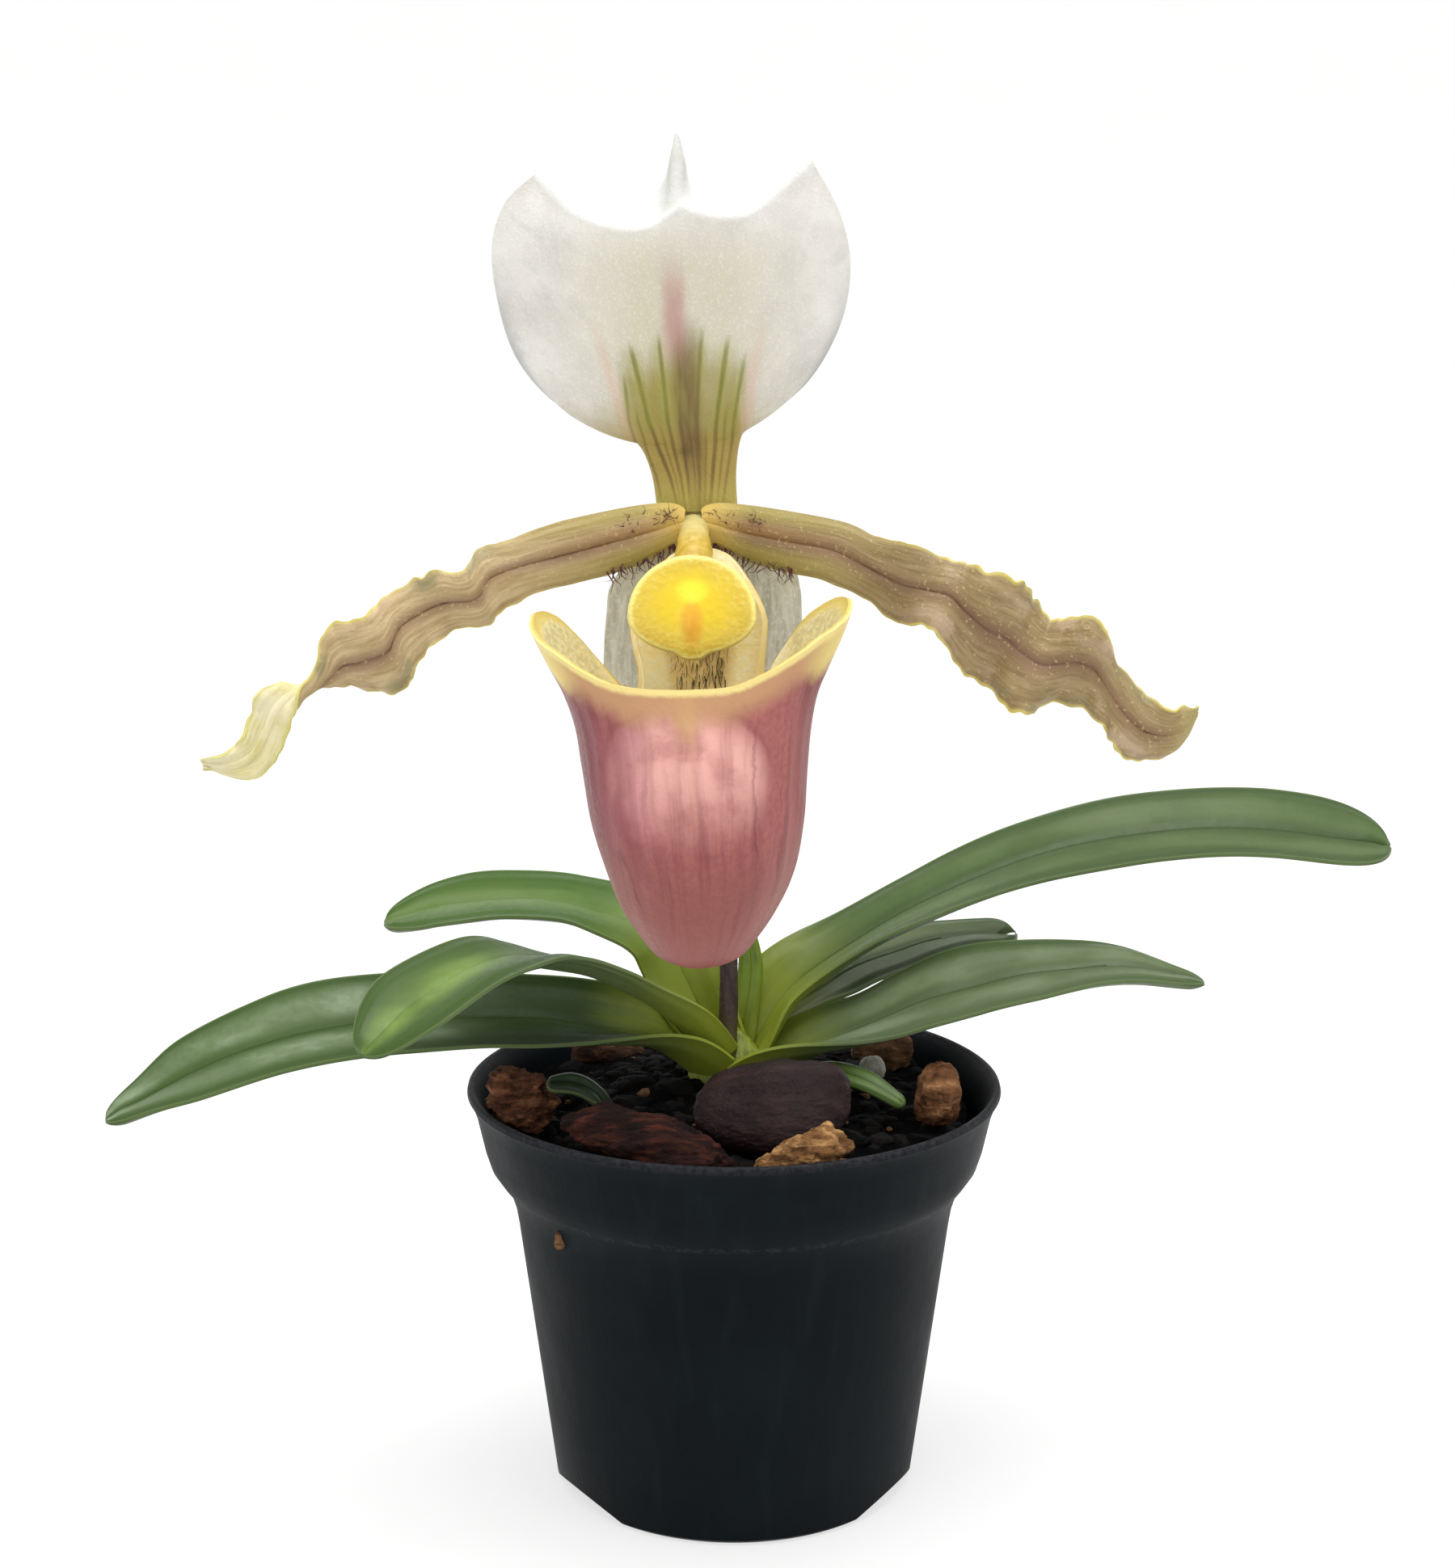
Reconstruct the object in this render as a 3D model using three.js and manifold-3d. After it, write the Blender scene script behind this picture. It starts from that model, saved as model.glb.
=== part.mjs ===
// A small slipper orchid in flower, in a round nursery pot.
// Millimetres, +Z up, the flower faces -Y. The origin is the centre of the pot's flat base.
import * as THREE from 'three';
import { mergeVertices } from 'three/addons/utils/BufferGeometryUtils.js';
import Module from 'manifold-3d';

const wasm = await Module();
wasm.setup();

// Driving dimensions
const GAP = 0.3; // between pieces that touch
const POT = { rimRadius: 25.85, height: 40.1, baseRadius: 17.6, floor: 1.1, sides: 44 };
const NOTCH = { count: 3, firstAngle: 92, width: 13, height: 2.6 };
const MIX = { rimDepth: 2.9, mound: 3.1, roughness: 0.2, floor: 1.5 };
const CROWN = { bottom: 33.5, top: 45.4, shift: -0.5, sides: 16 };
const ROOT_RADII = [1.2, 1.15, 1.0, 0.55];
const LEAF = { thickness: 1.1, edge: 0.6, baseFold: 0.46, bladeFold: 0.09, openFrom: 0.45 };
const LEAF_GRID = { steps: 12, columns: 4 };
const SCAPE_RADIUS = 0.85;
const BRACT_THICKNESS = 0.6;
const SEPAL_THICKNESS = 0.7;
const PETAL_THICKNESS = 0.7;
const LIP_WALL = 0.8;
const FLOWER_AXIS = [-3.45, -27.7, 97.1]; // where sepals, petals and lip meet

const V = (x, y, z) => new THREE.Vector3(x, y, z);
const turn = THREE.MathUtils.degToRad;
const lerp = THREE.MathUtils.lerp;
const smooth = (x, from, to) => THREE.MathUtils.smoothstep(x, from, to);
const bell = (x, centre, width) => Math.exp(-(((x - centre) / width) ** 2));

// Seeded random numbers between 0 and 1
function randomFrom(seed) {
  let state = seed >>> 0;
  return () => {
    state = (state + 0x6d2b79f5) >>> 0;
    let t = Math.imul(state ^ (state >>> 15), 1 | state);
    t = (t + Math.imul(t ^ (t >>> 7), 61 | t)) ^ t;
    return ((t ^ (t >>> 14)) >>> 0) / 4294967296;
  };
}

// A smooth number through evenly spaced values, at t between 0 and 1
function through(values, t) {
  const line = new THREE.SplineCurve(values.map((value, i) => new THREE.Vector2(i, value)));
  return line.getPoint(t).y;
}

// A smooth curve through a list of [x, y, z]
function curveThrough(points) {
  return new THREE.CatmullRomCurve3(points.map((p) => V(...p)), false, 'centripetal');
}

// A three.js geometry as a solid
function solidOf(geometry) {
  const bare = geometry.index ? geometry.clone() : geometry;
  bare.deleteAttribute('normal');
  bare.deleteAttribute('uv');
  const merged = mergeVertices(bare, 1e-4);
  return new wasm.Manifold(new wasm.Mesh({
    numProp: 3,
    vertProperties: new Float32Array(merged.attributes.position.array),
    triVerts: new Uint32Array(merged.index.array),
  }));
}

// A solid from points and triangles, turned so that its faces point out
function solidFrom(points, triangles) {
  let volume = 0;
  for (const [a, b, c] of triangles) {
    volume += points[a].dot(V(0, 0, 0).crossVectors(points[b], points[c]));
  }
  const turned = volume < 0 ? triangles.map(([a, b, c]) => [a, c, b]) : triangles;
  return new wasm.Manifold(new wasm.Mesh({
    numProp: 3,
    vertProperties: new Float32Array(points.flatMap((p) => [p.x, p.y, p.z])),
    triVerts: new Uint32Array(turned.flat()),
  }));
}

// Keeps the largest body of a cut solid
function largest(solid) {
  const bodies = solid.decompose();
  return bodies.reduce((best, body) => (body.volume() > best.volume() ? body : best));
}

// Cuts a solid by several others
function cut(solid, cutters) {
  return largest(cutters.reduce((rest, cutter) => rest.subtract(cutter), solid));
}

// A closed solid from rings of points, with a point at each end
function ringSolid(rings, start, end) {
  const size = rings[0].length;
  const points = [start, ...rings.flat(), end];
  const last = points.length - 1;
  const at = (ring, i) => 1 + ring * size + (i % size);
  const triangles = [];
  for (let i = 0; i < size; i += 1) {
    triangles.push([0, at(0, i), at(0, i + 1)]);
    triangles.push([last, at(rings.length - 1, i + 1), at(rings.length - 1, i)]);
    for (let ring = 0; ring < rings.length - 1; ring += 1) {
      triangles.push([at(ring, i), at(ring + 1, i), at(ring + 1, i + 1)]);
      triangles.push([at(ring, i), at(ring + 1, i + 1), at(ring, i + 1)]);
    }
  }
  return solidFrom(points, triangles);
}

// A thin blade from a grid of points on its middle surface: rows run from base to tip
function bladeSolid(rows, thicknessAt) {
  const n = rows.length - 1;
  const m = rows[0].length - 1;
  const index = (side, i, j) => side * (n + 1) * (m + 1) + i * (m + 1) + j;
  const faces = [[], []];
  for (let i = 0; i <= n; i += 1) {
    for (let j = 0; j <= m; j += 1) {
      const along = V(0, 0, 0).subVectors(rows[Math.min(i + 1, n)][j], rows[Math.max(i - 1, 0)][j]);
      const across = V(0, 0, 0).subVectors(rows[i][Math.min(j + 1, m)], rows[i][Math.max(j - 1, 0)]);
      const normal = V(0, 0, 0).crossVectors(along, across).normalize();
      const half = thicknessAt(i / n, j / m) / 2;
      faces[0].push(rows[i][j].clone().addScaledVector(normal, half));
      faces[1].push(rows[i][j].clone().addScaledVector(normal, -half));
    }
  }
  const triangles = [];
  const quad = (a, b, c, d) => triangles.push([a, b, c], [a, c, d]);
  for (let i = 0; i < n; i += 1) {
    for (let j = 0; j < m; j += 1) {
      quad(index(0, i, j), index(0, i + 1, j), index(0, i + 1, j + 1), index(0, i, j + 1));
      const [a, b] = [index(1, i, j), index(1, i + 1, j)];
      const [c, d] = [index(1, i + 1, j + 1), index(1, i, j + 1)];
      triangles.push([a, c, b], [a, d, c]);
    }
    quad(index(0, i, 0), index(1, i, 0), index(1, i + 1, 0), index(0, i + 1, 0));
    quad(index(0, i, m), index(0, i + 1, m), index(1, i + 1, m), index(1, i, m));
  }
  for (let j = 0; j < m; j += 1) {
    quad(index(0, 0, j), index(0, 0, j + 1), index(1, 0, j + 1), index(1, 0, j));
    quad(index(0, n, j), index(1, n, j), index(1, n, j + 1), index(0, n, j + 1));
  }
  return solidFrom(faces.flat(), triangles);
}

// A round stem of changing radius along a curve
function stemSolid(points, radii, steps, sides, grow = 0) {
  const curve = curveThrough(points);
  const rings = [];
  const side = V(1, 0, 0);
  for (let i = 0; i <= steps; i += 1) {
    const t = i / steps;
    const tangent = curve.getTangent(t);
    const overrun = i === 0 ? -grow : (i === steps ? grow : 0);
    const centre = curve.getPoint(t).addScaledVector(tangent, overrun);
    const across = side.clone().addScaledVector(tangent, -side.dot(tangent)).normalize();
    const up = V(0, 0, 0).crossVectors(tangent, across);
    const radius = through(radii, t) + grow;
    rings.push(Array.from({ length: sides }, (_, k) => {
      const angle = (2 * Math.PI * k) / sides;
      return centre.clone()
        .addScaledVector(across, radius * Math.cos(angle))
        .addScaledVector(up, radius * Math.sin(angle));
    }));
  }
  const start = curve.getPoint(0).addScaledVector(curve.getTangent(0), -grow);
  const end = curve.getPoint(1).addScaledVector(curve.getTangent(1), grow);
  return ringSolid(rings, start, end);
}

const group = new THREE.Group();

function addPiece(name, solid, colour, roughness) {
  const mesh = solid.getMesh();
  const geometry = new THREE.BufferGeometry();
  geometry.setAttribute('position', new THREE.BufferAttribute(new Float32Array(mesh.vertProperties), 3));
  geometry.setIndex(new THREE.BufferAttribute(new Uint32Array(mesh.triVerts), 1));
  geometry.computeVertexNormals();
  const material = new THREE.MeshStandardMaterial({ color: colour, roughness, metalness: 0 });
  const piece = new THREE.Mesh(geometry, material);
  piece.name = name;
  group.add(piece);
}

// Pot: one lathed wall with a collar below the rim, and drain notches at the foot
const POT_OUTSIDE = [
  [POT.baseRadius, 0], [20.95, 26], [21.2, 28.2], [21.8, 30], [22.5, 31], [23.3, 32], [23.9, 33],
  [24.25, 34.2], [25.0, 38], [25.6, 39], [POT.rimRadius, 39.7], [POT.rimRadius - 0.2, POT.height],
];
const POT_INSIDE = [
  [POT.rimRadius - 0.85, POT.height], [24.5, 39.2], [24.0, 37.8], [23.6, 35.8], [23.2, 34.2],
  [22.6, 33], [21.6, 31.6], [20.7, 30], [20.2, 28], [19.9, 25.6], [16.7, 1.2],
];

function potWall(grow = 0) {
  const outside = POT_OUTSIDE.map(([r, z]) => [r + grow, z + (z === POT.height ? grow : 0)]);
  const inside = POT_INSIDE.map(([r, z]) => [r - grow, z + (z === POT.height ? grow : 0)]);
  const section = [[0, 0], ...outside, ...inside, [0, POT.floor]];
  const outline = section.map(([r, z]) => new THREE.Vector2(r, z));
  return solidOf(new THREE.LatheGeometry(outline, POT.sides).rotateX(Math.PI / 2));
}

function pot() {
  const notches = Array.from({ length: NOTCH.count }, (_, i) => {
    const angle = turn(NOTCH.firstAngle + (360 / NOTCH.count) * i);
    const wedge = new THREE.BoxGeometry(6, NOTCH.width, 3).rotateY(-Math.PI / 4);
    wedge.translate(POT.baseRadius + 0.6, 0, NOTCH.height - 2.5).rotateZ(angle);
    return solidOf(wedge);
  });
  return cut(potWall(), notches);
}

// Loose pieces on the mix: rough lumps at [x, y, z] with [x, y, z] radii, turned by degrees
const CHIPS = {
  bark_chip_dark: {
    at: [3.8, -13.2, 41.8], radii: [7.4, 6.4, 2.9], turned: [24, -8, 6], detail: 2, rough: 0.10, seed: 5,
    colour: 0x3a2830, roughness: 0.55,
  },
  bark_chip_red: {
    at: [-7.6, -18.8, 39.9], radii: [9.4, 3.3, 2.4], turned: [16, 9, -21], detail: 2, rough: 0.2, seed: 11,
    colour: 0x4a2722, roughness: 0.8,
  },
  bark_chip_orange: {
    at: [-20.2, -6.4, 39.9], radii: [3.4, 3.6, 3.5], turned: [10, -20, 30], detail: 2, rough: 0.26, seed: 23,
    colour: 0x8a5a3c, roughness: 0.85,
  },
  bark_chip_tan: {
    at: [19.0, -8.4, 40.9], radii: [2.1, 2.4, 3.4], turned: [0, 12, 20], detail: 1, rough: 0.22, seed: 31,
    colour: 0xa4805a, roughness: 0.85,
  },
  crumb_gold: {
    at: [6.6, -21.3, 39.6], radii: [4.4, 2.0, 2.0], turned: [8, -16, 14], detail: 2, rough: 0.30, seed: 43,
    colour: 0xa8845a, roughness: 0.85,
  },
  bark_chip_back_left: {
    at: [-13.2, 14.2, 38.6], radii: [4.6, 3.0, 2.0], turned: [-8, 6, 38], detail: 1, rough: 0.2, seed: 61,
    colour: 0x6b4632, roughness: 0.85,
  },
  bark_chip_back: {
    at: [1.6, 18.6, 38.4], radii: [5.0, 2.8, 2.1], turned: [-12, 4, -10], detail: 1, rough: 0.2, seed: 71,
    colour: 0x4a2f26, roughness: 0.85,
  },
  bark_chip_back_right: {
    at: [15.6, 13.4, 38.5], radii: [3.2, 3.8, 2.2], turned: [6, -8, 24], detail: 1, rough: 0.22, seed: 83,
    colour: 0x8a6242, roughness: 0.85,
  },
  perlite_grain: {
    at: [13.8, 5.6, 39.4], radii: [1.5, 1.4, 1.3], turned: [0, 0, 0], detail: 1, rough: 0.18, seed: 57,
    colour: 0xc9c4b8, roughness: 0.8,
  },
};

function lump({ at, radii, turned, detail, rough, seed }, grow = 0) {
  const random = randomFrom(seed);
  const slope = () => random() * 4 - 2;
  const waves = Array.from({ length: 6 }, () => (
    { direction: V(slope(), slope(), slope()), start: random() * 6 }
  ));
  const geometry = new THREE.IcosahedronGeometry(1, detail);
  const position = geometry.attributes.position;
  const p = V(0, 0, 0);
  for (let i = 0; i < position.count; i += 1) {
    p.fromBufferAttribute(position, i);
    const bump = waves.reduce((sum, wave) => sum + Math.sin(2.2 * wave.direction.dot(p) + wave.start), 0);
    const scale = 1 + (rough * bump) / 3;
    p.multiply(V(...radii.map((radius) => radius * scale + grow)));
    position.setXYZ(i, p.x, p.y, p.z);
  }
  const [x, y, z] = turned.map(turn);
  geometry.rotateX(x).rotateY(y).rotateZ(z).translate(...at);
  return solidOf(geometry);
}

// Crown: the short stem, pressed flat in the fan's plane, with its roots fused on
const CROWN_HALF = [ // height, half-width in X, half-depth in Y
  [CROWN.bottom, 1.6, 1.4], [36, 2.6, 2.4], [38.6, 3.4, 3.0], [40.6, 3.9, 3.2], [42.4, 3.5, 2.6],
  [44, 2.3, 1.8], [CROWN.top, 1.1, 1.0],
];
const ROOTS = [
  [[-1, -0.6, 36], [-5, -4, 31], [-9, -7, 23], [-10.5, -8, 13]],
  [[1, -0.6, 36], [5.5, -5, 30], [9, -6, 21], [11, -7, 10]],
  [[-1, 0.8, 36], [-6, 5, 30], [-10, 8, 20], [-8, 11, 9]],
  [[1.2, 0.8, 36], [6, 5, 31], [9.5, 10, 22], [9, 11, 12]],
  [[0, 0, 35], [0.6, -0.6, 27], [-1, 0.6, 17], [0.5, 0, 7]],
];

function crown(grow = 0) {
  const rings = CROWN_HALF.map(([z, a, b]) => Array.from({ length: CROWN.sides }, (_, k) => {
    const angle = (2 * Math.PI * k) / CROWN.sides;
    const overrun = z === CROWN.bottom ? -grow : (z === CROWN.top ? grow : 0);
    return V(CROWN.shift + (a + grow) * Math.cos(angle), (b + grow) * Math.sin(angle), z + overrun);
  }));
  const [start, end] = [CROWN.bottom - 0.2 - grow, CROWN.top + 0.2 + grow];
  return ringSolid(rings, V(CROWN.shift, 0, start), V(CROWN.shift, 0, end));
}

function root(points, grow = 0) {
  return stemSolid(points, ROOT_RADII, 8, 6, grow);
}

function crownWithRoots(grow = 0) {
  return ROOTS.reduce((whole, points) => whole.add(root(points, grow)), crown(grow));
}

// Strap leaves: spine points, with the width and roll (degrees) at each of them; tip is the rounded share
const LEAVES = {
  leaf_left_low: {
    spine: [[-1.9, -0.6, 41.7], [-6, -1.5, 45], [-14.5, -3, 46.9], [-26, -5.5, 48.1], [-39, -9.5, 48],
      [-50, -12.5, 44.6], [-57.8, -14, 40.6]],
    width: [7, 9.4, 11.2, 12, 11.8, 10, 7],
    roll: [0, 7, 17, 21, 22, 18, 13],
    tip: 0.2,
  },
  leaf_left_mid: {
    spine: [[-1.9, -1, 43.2], [-4.9, -3.2, 47.5], [-9.6, -6, 51.2], [-15.3, -9.7, 54.4],
      [-21.5, -13.8, 55.8], [-28, -18.5, 53.5], [-32.8, -23, 49.6]],
    width: [5, 5.4, 5.2, 7, 10.6, 10.3, 7.5],
    roll: [0, -4, -9, -12, 2, 10, 17],
    tip: 0.22,
  },
  leaf_left_high: {
    spine: [[-1.2, 1, 42.6], [-3.6, 2.3, 47.2], [-7.2, 4.6, 53], [-13.5, 6.6, 55.3], [-21, 8, 56],
      [-28.8, 9, 55], [-34.7, 9, 53.4]],
    width: [5.4, 6.8, 8.4, 10.3, 11.4, 11, 8.8],
    roll: [60, 54, 30, 11, 10, 11, 15],
    tip: 0.26,
  },
  leaf_right_high: {
    spine: [[1, 0.8, 42.6], [4.4, 2.2, 48.2], [11.5, 4, 53], [23, 5.5, 58.6], [37, 7, 62.5],
      [52, 7, 63.4], [64.3, 7, 61.7]],
    width: [6, 8, 9.6, 10.8, 11.4, 11.6, 10.6],
    roll: [30, 18, 8, 13, 21, 22, 24],
    tip: 0.13,
  },
  leaf_right_low: {
    spine: [[1.2, -1.2, 41.2], [5.6, -2.3, 44], [12, -3, 46.3], [20, -4.2, 49.8], [28.5, -5.3, 52.2],
      [36.5, -6, 52.8], [44.2, -6, 51.4]],
    width: [6, 7.6, 9.4, 11.2, 10.2, 7, 2.6],
    roll: [0, 5, 14, 22, 18, 12, 11],
    tip: 0.1,
  },
  leaf_right_back: {
    spine: [[1.2, 2.2, 41.6], [4.6, 5, 45.1], [10.5, 8, 48.1], [17.5, 10.3, 50.3], [23.5, 11.6, 51.3],
      [28.4, 12.6, 51.4]],
    width: [4.4, 6.2, 8, 8.2, 7, 5],
    roll: [4, 12, 13, 10, 9, 15],
    tip: 0.16,
  },
  sheath_right: {
    across: [1, 0.15, 0],
    spine: [[0.4, 1.5, 42.8], [1.1, 1.9, 46.4], [1.6, 2.3, 50.4], [1.3, 2.1, 55.4]],
    width: [2.6, 2.6, 2.4, 1.6],
    roll: [0, 0, 0, 0],
    tip: 0.3,
  },
  leaf_stub_left: {
    spine: [[-11.4, -8.0, 38.0], [-13.0, -8.3, 41.0], [-15.0, -8.7, 42.3], [-17.5, -9.2, 42.4]],
    width: [2.0, 2.6, 2.6, 1.8],
    roll: [22, 28, 30, 30],
    tip: 0.1,
  },
  leaf_stub_right: {
    spine: [[1.8, -1.2, 39.2], [4.6, -3.2, 40.9], [8.4, -5.4, 42.5], [12.2, -8.6, 42.6],
      [15.8, -10.8, 41.0]],
    width: [2.2, 2.4, 2.6, 2.4, 1.4],
    roll: [20, 22, 26, 28, 28],
    tip: 0.05,
  },
};

// The middle of a leaf at t, with its direction across, its upward normal and half its width
function leafSection({ spine, width, roll, tip, across: given }, t, grow) {
  const curve = curveThrough(spine);
  const tangent = curve.getTangent(t);
  const overrun = t === 0 ? -grow : (t === 1 ? grow : 0);
  const middle = curve.getPoint(t).addScaledVector(tangent, overrun);
  const level = given ? V(...given) : V(0, 0, 1).cross(tangent).normalize();
  if (level.y < 0) level.negate();
  const upward = V(0, 0, 0).crossVectors(tangent, level);
  if (upward.z < 0 || given) upward.negate();
  const tilt = turn(through(roll, t));
  const across = level.clone().multiplyScalar(Math.cos(tilt)).addScaledVector(upward, Math.sin(tilt));
  const normal = upward.clone().multiplyScalar(Math.cos(tilt)).addScaledVector(level, -Math.sin(tilt));
  const intoTip = THREE.MathUtils.clamp((t - 1 + tip) / tip, 0, 0.99);
  const half = (through(width, t) * Math.sqrt(1 - intoTip ** 3)) / 2 + grow;
  return { middle, across, normal, half };
}

function leaf(form, grow = 0) {
  const rows = Array.from({ length: LEAF_GRID.steps + 1 }, (_, i) => {
    const t = 1 - (1 - i / LEAF_GRID.steps) ** 1.3; // rows are closer at the tip
    const { middle, across, normal, half } = leafSection(form, t, grow);
    const fold = lerp(LEAF.baseFold, LEAF.bladeFold, smooth(t, 0, LEAF.openFrom));
    return Array.from({ length: LEAF_GRID.columns + 1 }, (_, j) => {
      const s = (2 * j) / LEAF_GRID.columns - 1;
      const height = fold * 2 * half * (s * s - 0.4);
      return middle.clone().addScaledVector(across, s * half).addScaledVector(normal, height);
    });
  });
  return bladeSolid(rows, (t, s) => lerp(LEAF.thickness, LEAF.edge, Math.abs(2 * s - 1) ** 2) + 2 * grow);
}

// Flower stem, bract and ovary
const SCAPE = [
  [-0.6, -1.9, 40.9], [-0.6, -1.6, 44], [-0.5, -1.0, 52], [-0.5, -1.3, 62], [-1.1, -2.4, 72],
  [-2.0, -4.2, 81.5],
];
const SCAPE_RADII = [SCAPE_RADIUS + 0.1, SCAPE_RADIUS, SCAPE_RADIUS, SCAPE_RADIUS + 0.15];
const OVARY = [
  [-2.06, -4.5, 82.1], [-2.3, -7.0, 86.2], [-2.7, -11.5, 90.6], [-3.1, -17, 94.0],
  [-3.4, -22.5, 96.4], FLOWER_AXIS,
];
const OVARY_RADII = [0.95, 1.1, 1.3, 1.45, 1.4, 1.9];
const BRACT_SPAN = [0.02, 0.52]; // share of the ovary's length that it covers

function scape(grow = 0) {
  return stemSolid(SCAPE, SCAPE_RADII, 12, 10, grow);
}

function ovary(grow = 0) {
  const curve = curveThrough(OVARY);
  const sides = 12;
  const steps = 12;
  const rings = [];
  for (let i = 0; i <= steps; i += 1) {
    const t = i / steps;
    const tangent = curve.getTangent(t);
    const across = V(1, 0, 0).addScaledVector(tangent, -tangent.x).normalize();
    const up = V(0, 0, 0).crossVectors(tangent, across);
    const radius = through(OVARY_RADII, t) + grow;
    rings.push(Array.from({ length: sides }, (_, k) => {
      const angle = (2 * Math.PI * k) / sides;
      const rib = 1 + 0.06 * Math.cos(6 * angle);
      return curve.getPoint(t).addScaledVector(across, radius * rib * Math.cos(angle))
        .addScaledVector(up, radius * rib * Math.sin(angle));
    }));
  }
  return ringSolid(rings, curve.getPoint(0), curve.getPoint(1));
}

// The bract wraps the foot of the ovary and opens towards the top of the stem
function bract() {
  const curve = curveThrough(OVARY);
  const rows = [];
  for (let i = 0; i <= 9; i += 1) {
    const t = lerp(...BRACT_SPAN, i / 9);
    const tangent = curve.getTangent(t);
    const across = V(1, 0, 0).addScaledVector(tangent, -tangent.x).normalize();
    const down = V(0, 0, 0).crossVectors(across, tangent).normalize();
    const out = down.z < 0 || down.y < 0 ? down : down.negate();
    const reach = lerp(125, 14, smooth(i / 9, 0.25, 1.0)); // degrees each way round the ovary
    const radius = through(OVARY_RADII, t) + 0.75 + 0.7 * smooth(i / 9, 0.1, 0.8);
    rows.push(Array.from({ length: 9 }, (_, j) => {
      const angle = turn(reach * (j / 4 - 1));
      return curve.getPoint(t).addScaledVector(across, radius * Math.sin(angle))
        .addScaledVector(out, radius * Math.cos(angle));
    }));
  }
  return bladeSolid(rows, () => BRACT_THICKNESS);
}

// A patch between four border curves in the XZ plane, each a list of [x, z]
function patch(bottom, top, left, right) {
  const border = (list) => curveThrough(list.map(([x, z]) => [x, 0, z]));
  const [b, u, l, r] = [bottom, top, left, right].map(border);
  const corner = [b.getPoint(0), b.getPoint(1), u.getPoint(0), u.getPoint(1)];
  return (s, t) => V(0, 0, 0)
    .addScaledVector(b.getPoint(s), 1 - t)
    .addScaledVector(u.getPoint(s), t)
    .addScaledVector(l.getPointAt(t), 1 - s)
    .addScaledVector(r.getPointAt(t), s)
    .addScaledVector(corner[0], -(1 - s) * (1 - t))
    .addScaledVector(corner[1], -s * (1 - t))
    .addScaledVector(corner[2], -(1 - s) * t)
    .addScaledVector(corner[3], -s * t);
}

// Dorsal sepal: a round blade on a narrow claw; its upper margin is bent back along a crease
const DORSAL = {
  claw: [[-6.4, 98.3], [-3.2, 98.05], [0.1, 98.3]],
  left: [[-6.4, 98.3], [-6.75, 100.8], [-7.5, 102.9], [-8.7, 104.5], [-11.7, 105.2], [-14.9, 106.9],
    [-18.0, 110.6], [-19.5, 116], [-19.6, 120], [-18.4, 123], [-16.1, 125.1]],
  right: [[0.1, 98.3], [0, 101.2], [0.3, 103.6], [0.8, 104.9], [2.1, 105.5], [5.9, 108.5], [8.6, 113.3],
    [9.3, 118], [8.4, 122], [6.1, 126.2]],
  crease: [ // X, Z and how far the bent margin rises behind it
    [-16.1, 125.1, 0], [-13.6, 122.4, 1.6], [-11.0, 121.1, 2.1], [-8.1, 120.6, 2.4], [-6.3, 121.0, 3.4],
    [-5.0, 121.9, 6.3], [-4.2, 122.4, 4.5], [-3.3, 122.1, 2.5], [-1.2, 121.7, 1.9], [0.9, 121.9, 2.0],
    [2.9, 123.1, 1.8], [4.6, 124.7, 1.0], [6.1, 126.2, 0],
  ],
  depth: -28.75,
  bendBack: 3.6,
  rows: 13,
  stripRows: 3,
  columns: 18,
};

// How deep the blade lies at s across and t up: it bulges forward in the middle and its sides curl back
function dorsalDepth(s, t) {
  const belly = -0.9 * smooth(t, 0.1, 0.5) - 0.6 * smooth(t, 0.5, 1);
  const curl = lerp(1.5, 3.4, smooth(t, 0.12, 0.35)) * lerp(1, 0.45, smooth(t, 0.5, 1));
  return DORSAL.depth + belly + curl * Math.abs(2 * s - 1) ** 2.4;
}

function dorsalSepal() {
  const blade = patch(DORSAL.claw, DORSAL.crease, DORSAL.left, DORSAL.right);
  const rises = DORSAL.crease.map(([, , rise]) => rise);
  const across = Array.from({ length: DORSAL.columns + 1 }, (_, j) => j / DORSAL.columns);
  const rows = Array.from({ length: DORSAL.rows + 1 }, (_, i) => across.map((s) => {
    const t = i / DORSAL.rows;
    return blade(s, t).setY(dorsalDepth(s, t));
  }));
  for (let i = 1; i <= DORSAL.stripRows; i += 1) {
    const k = i / DORSAL.stripRows;
    rows.push(across.map((s) => {
      const spike = bell(s, 0.44, 0.1);
      const ends = 1 - Math.abs(2 * s - 1) ** 6;
      const back = Math.max(DORSAL.bendBack * (1 - 0.45 * spike) * ends, 0.5) * k;
      const rise = Math.max(through(rises, s), 0.35) * (0.45 * k + 0.55 * k * k);
      const inward = 0.6 * (bell(s, 0.36, 0.06) - bell(s, 0.57, 0.06)) * k;
      return blade(s, 1).add(V(inward, dorsalDepth(s, 1) + back, rise));
    }));
  }
  return bladeSolid(rows, () => SEPAL_THICKNESS);
}

// Synsepal: the two lower sepals as one blade behind the pouch
const SYNSEPAL = [ // height, left X, right X
  [95.0, -6.4, 1.6], [93.6, -9.0, 4.6], [91.6, -10.4, 5.4], [89.4, -10.7, 5.55], [87.0, -10.9, 5.5],
  [84.0, -10.9, 5.3], [81.0, -10.0, 4.4], [78.0, -8.4, 2.9], [75.4, -6.3, 0.9], [73.4, -4.3, -1.5],
];

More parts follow.
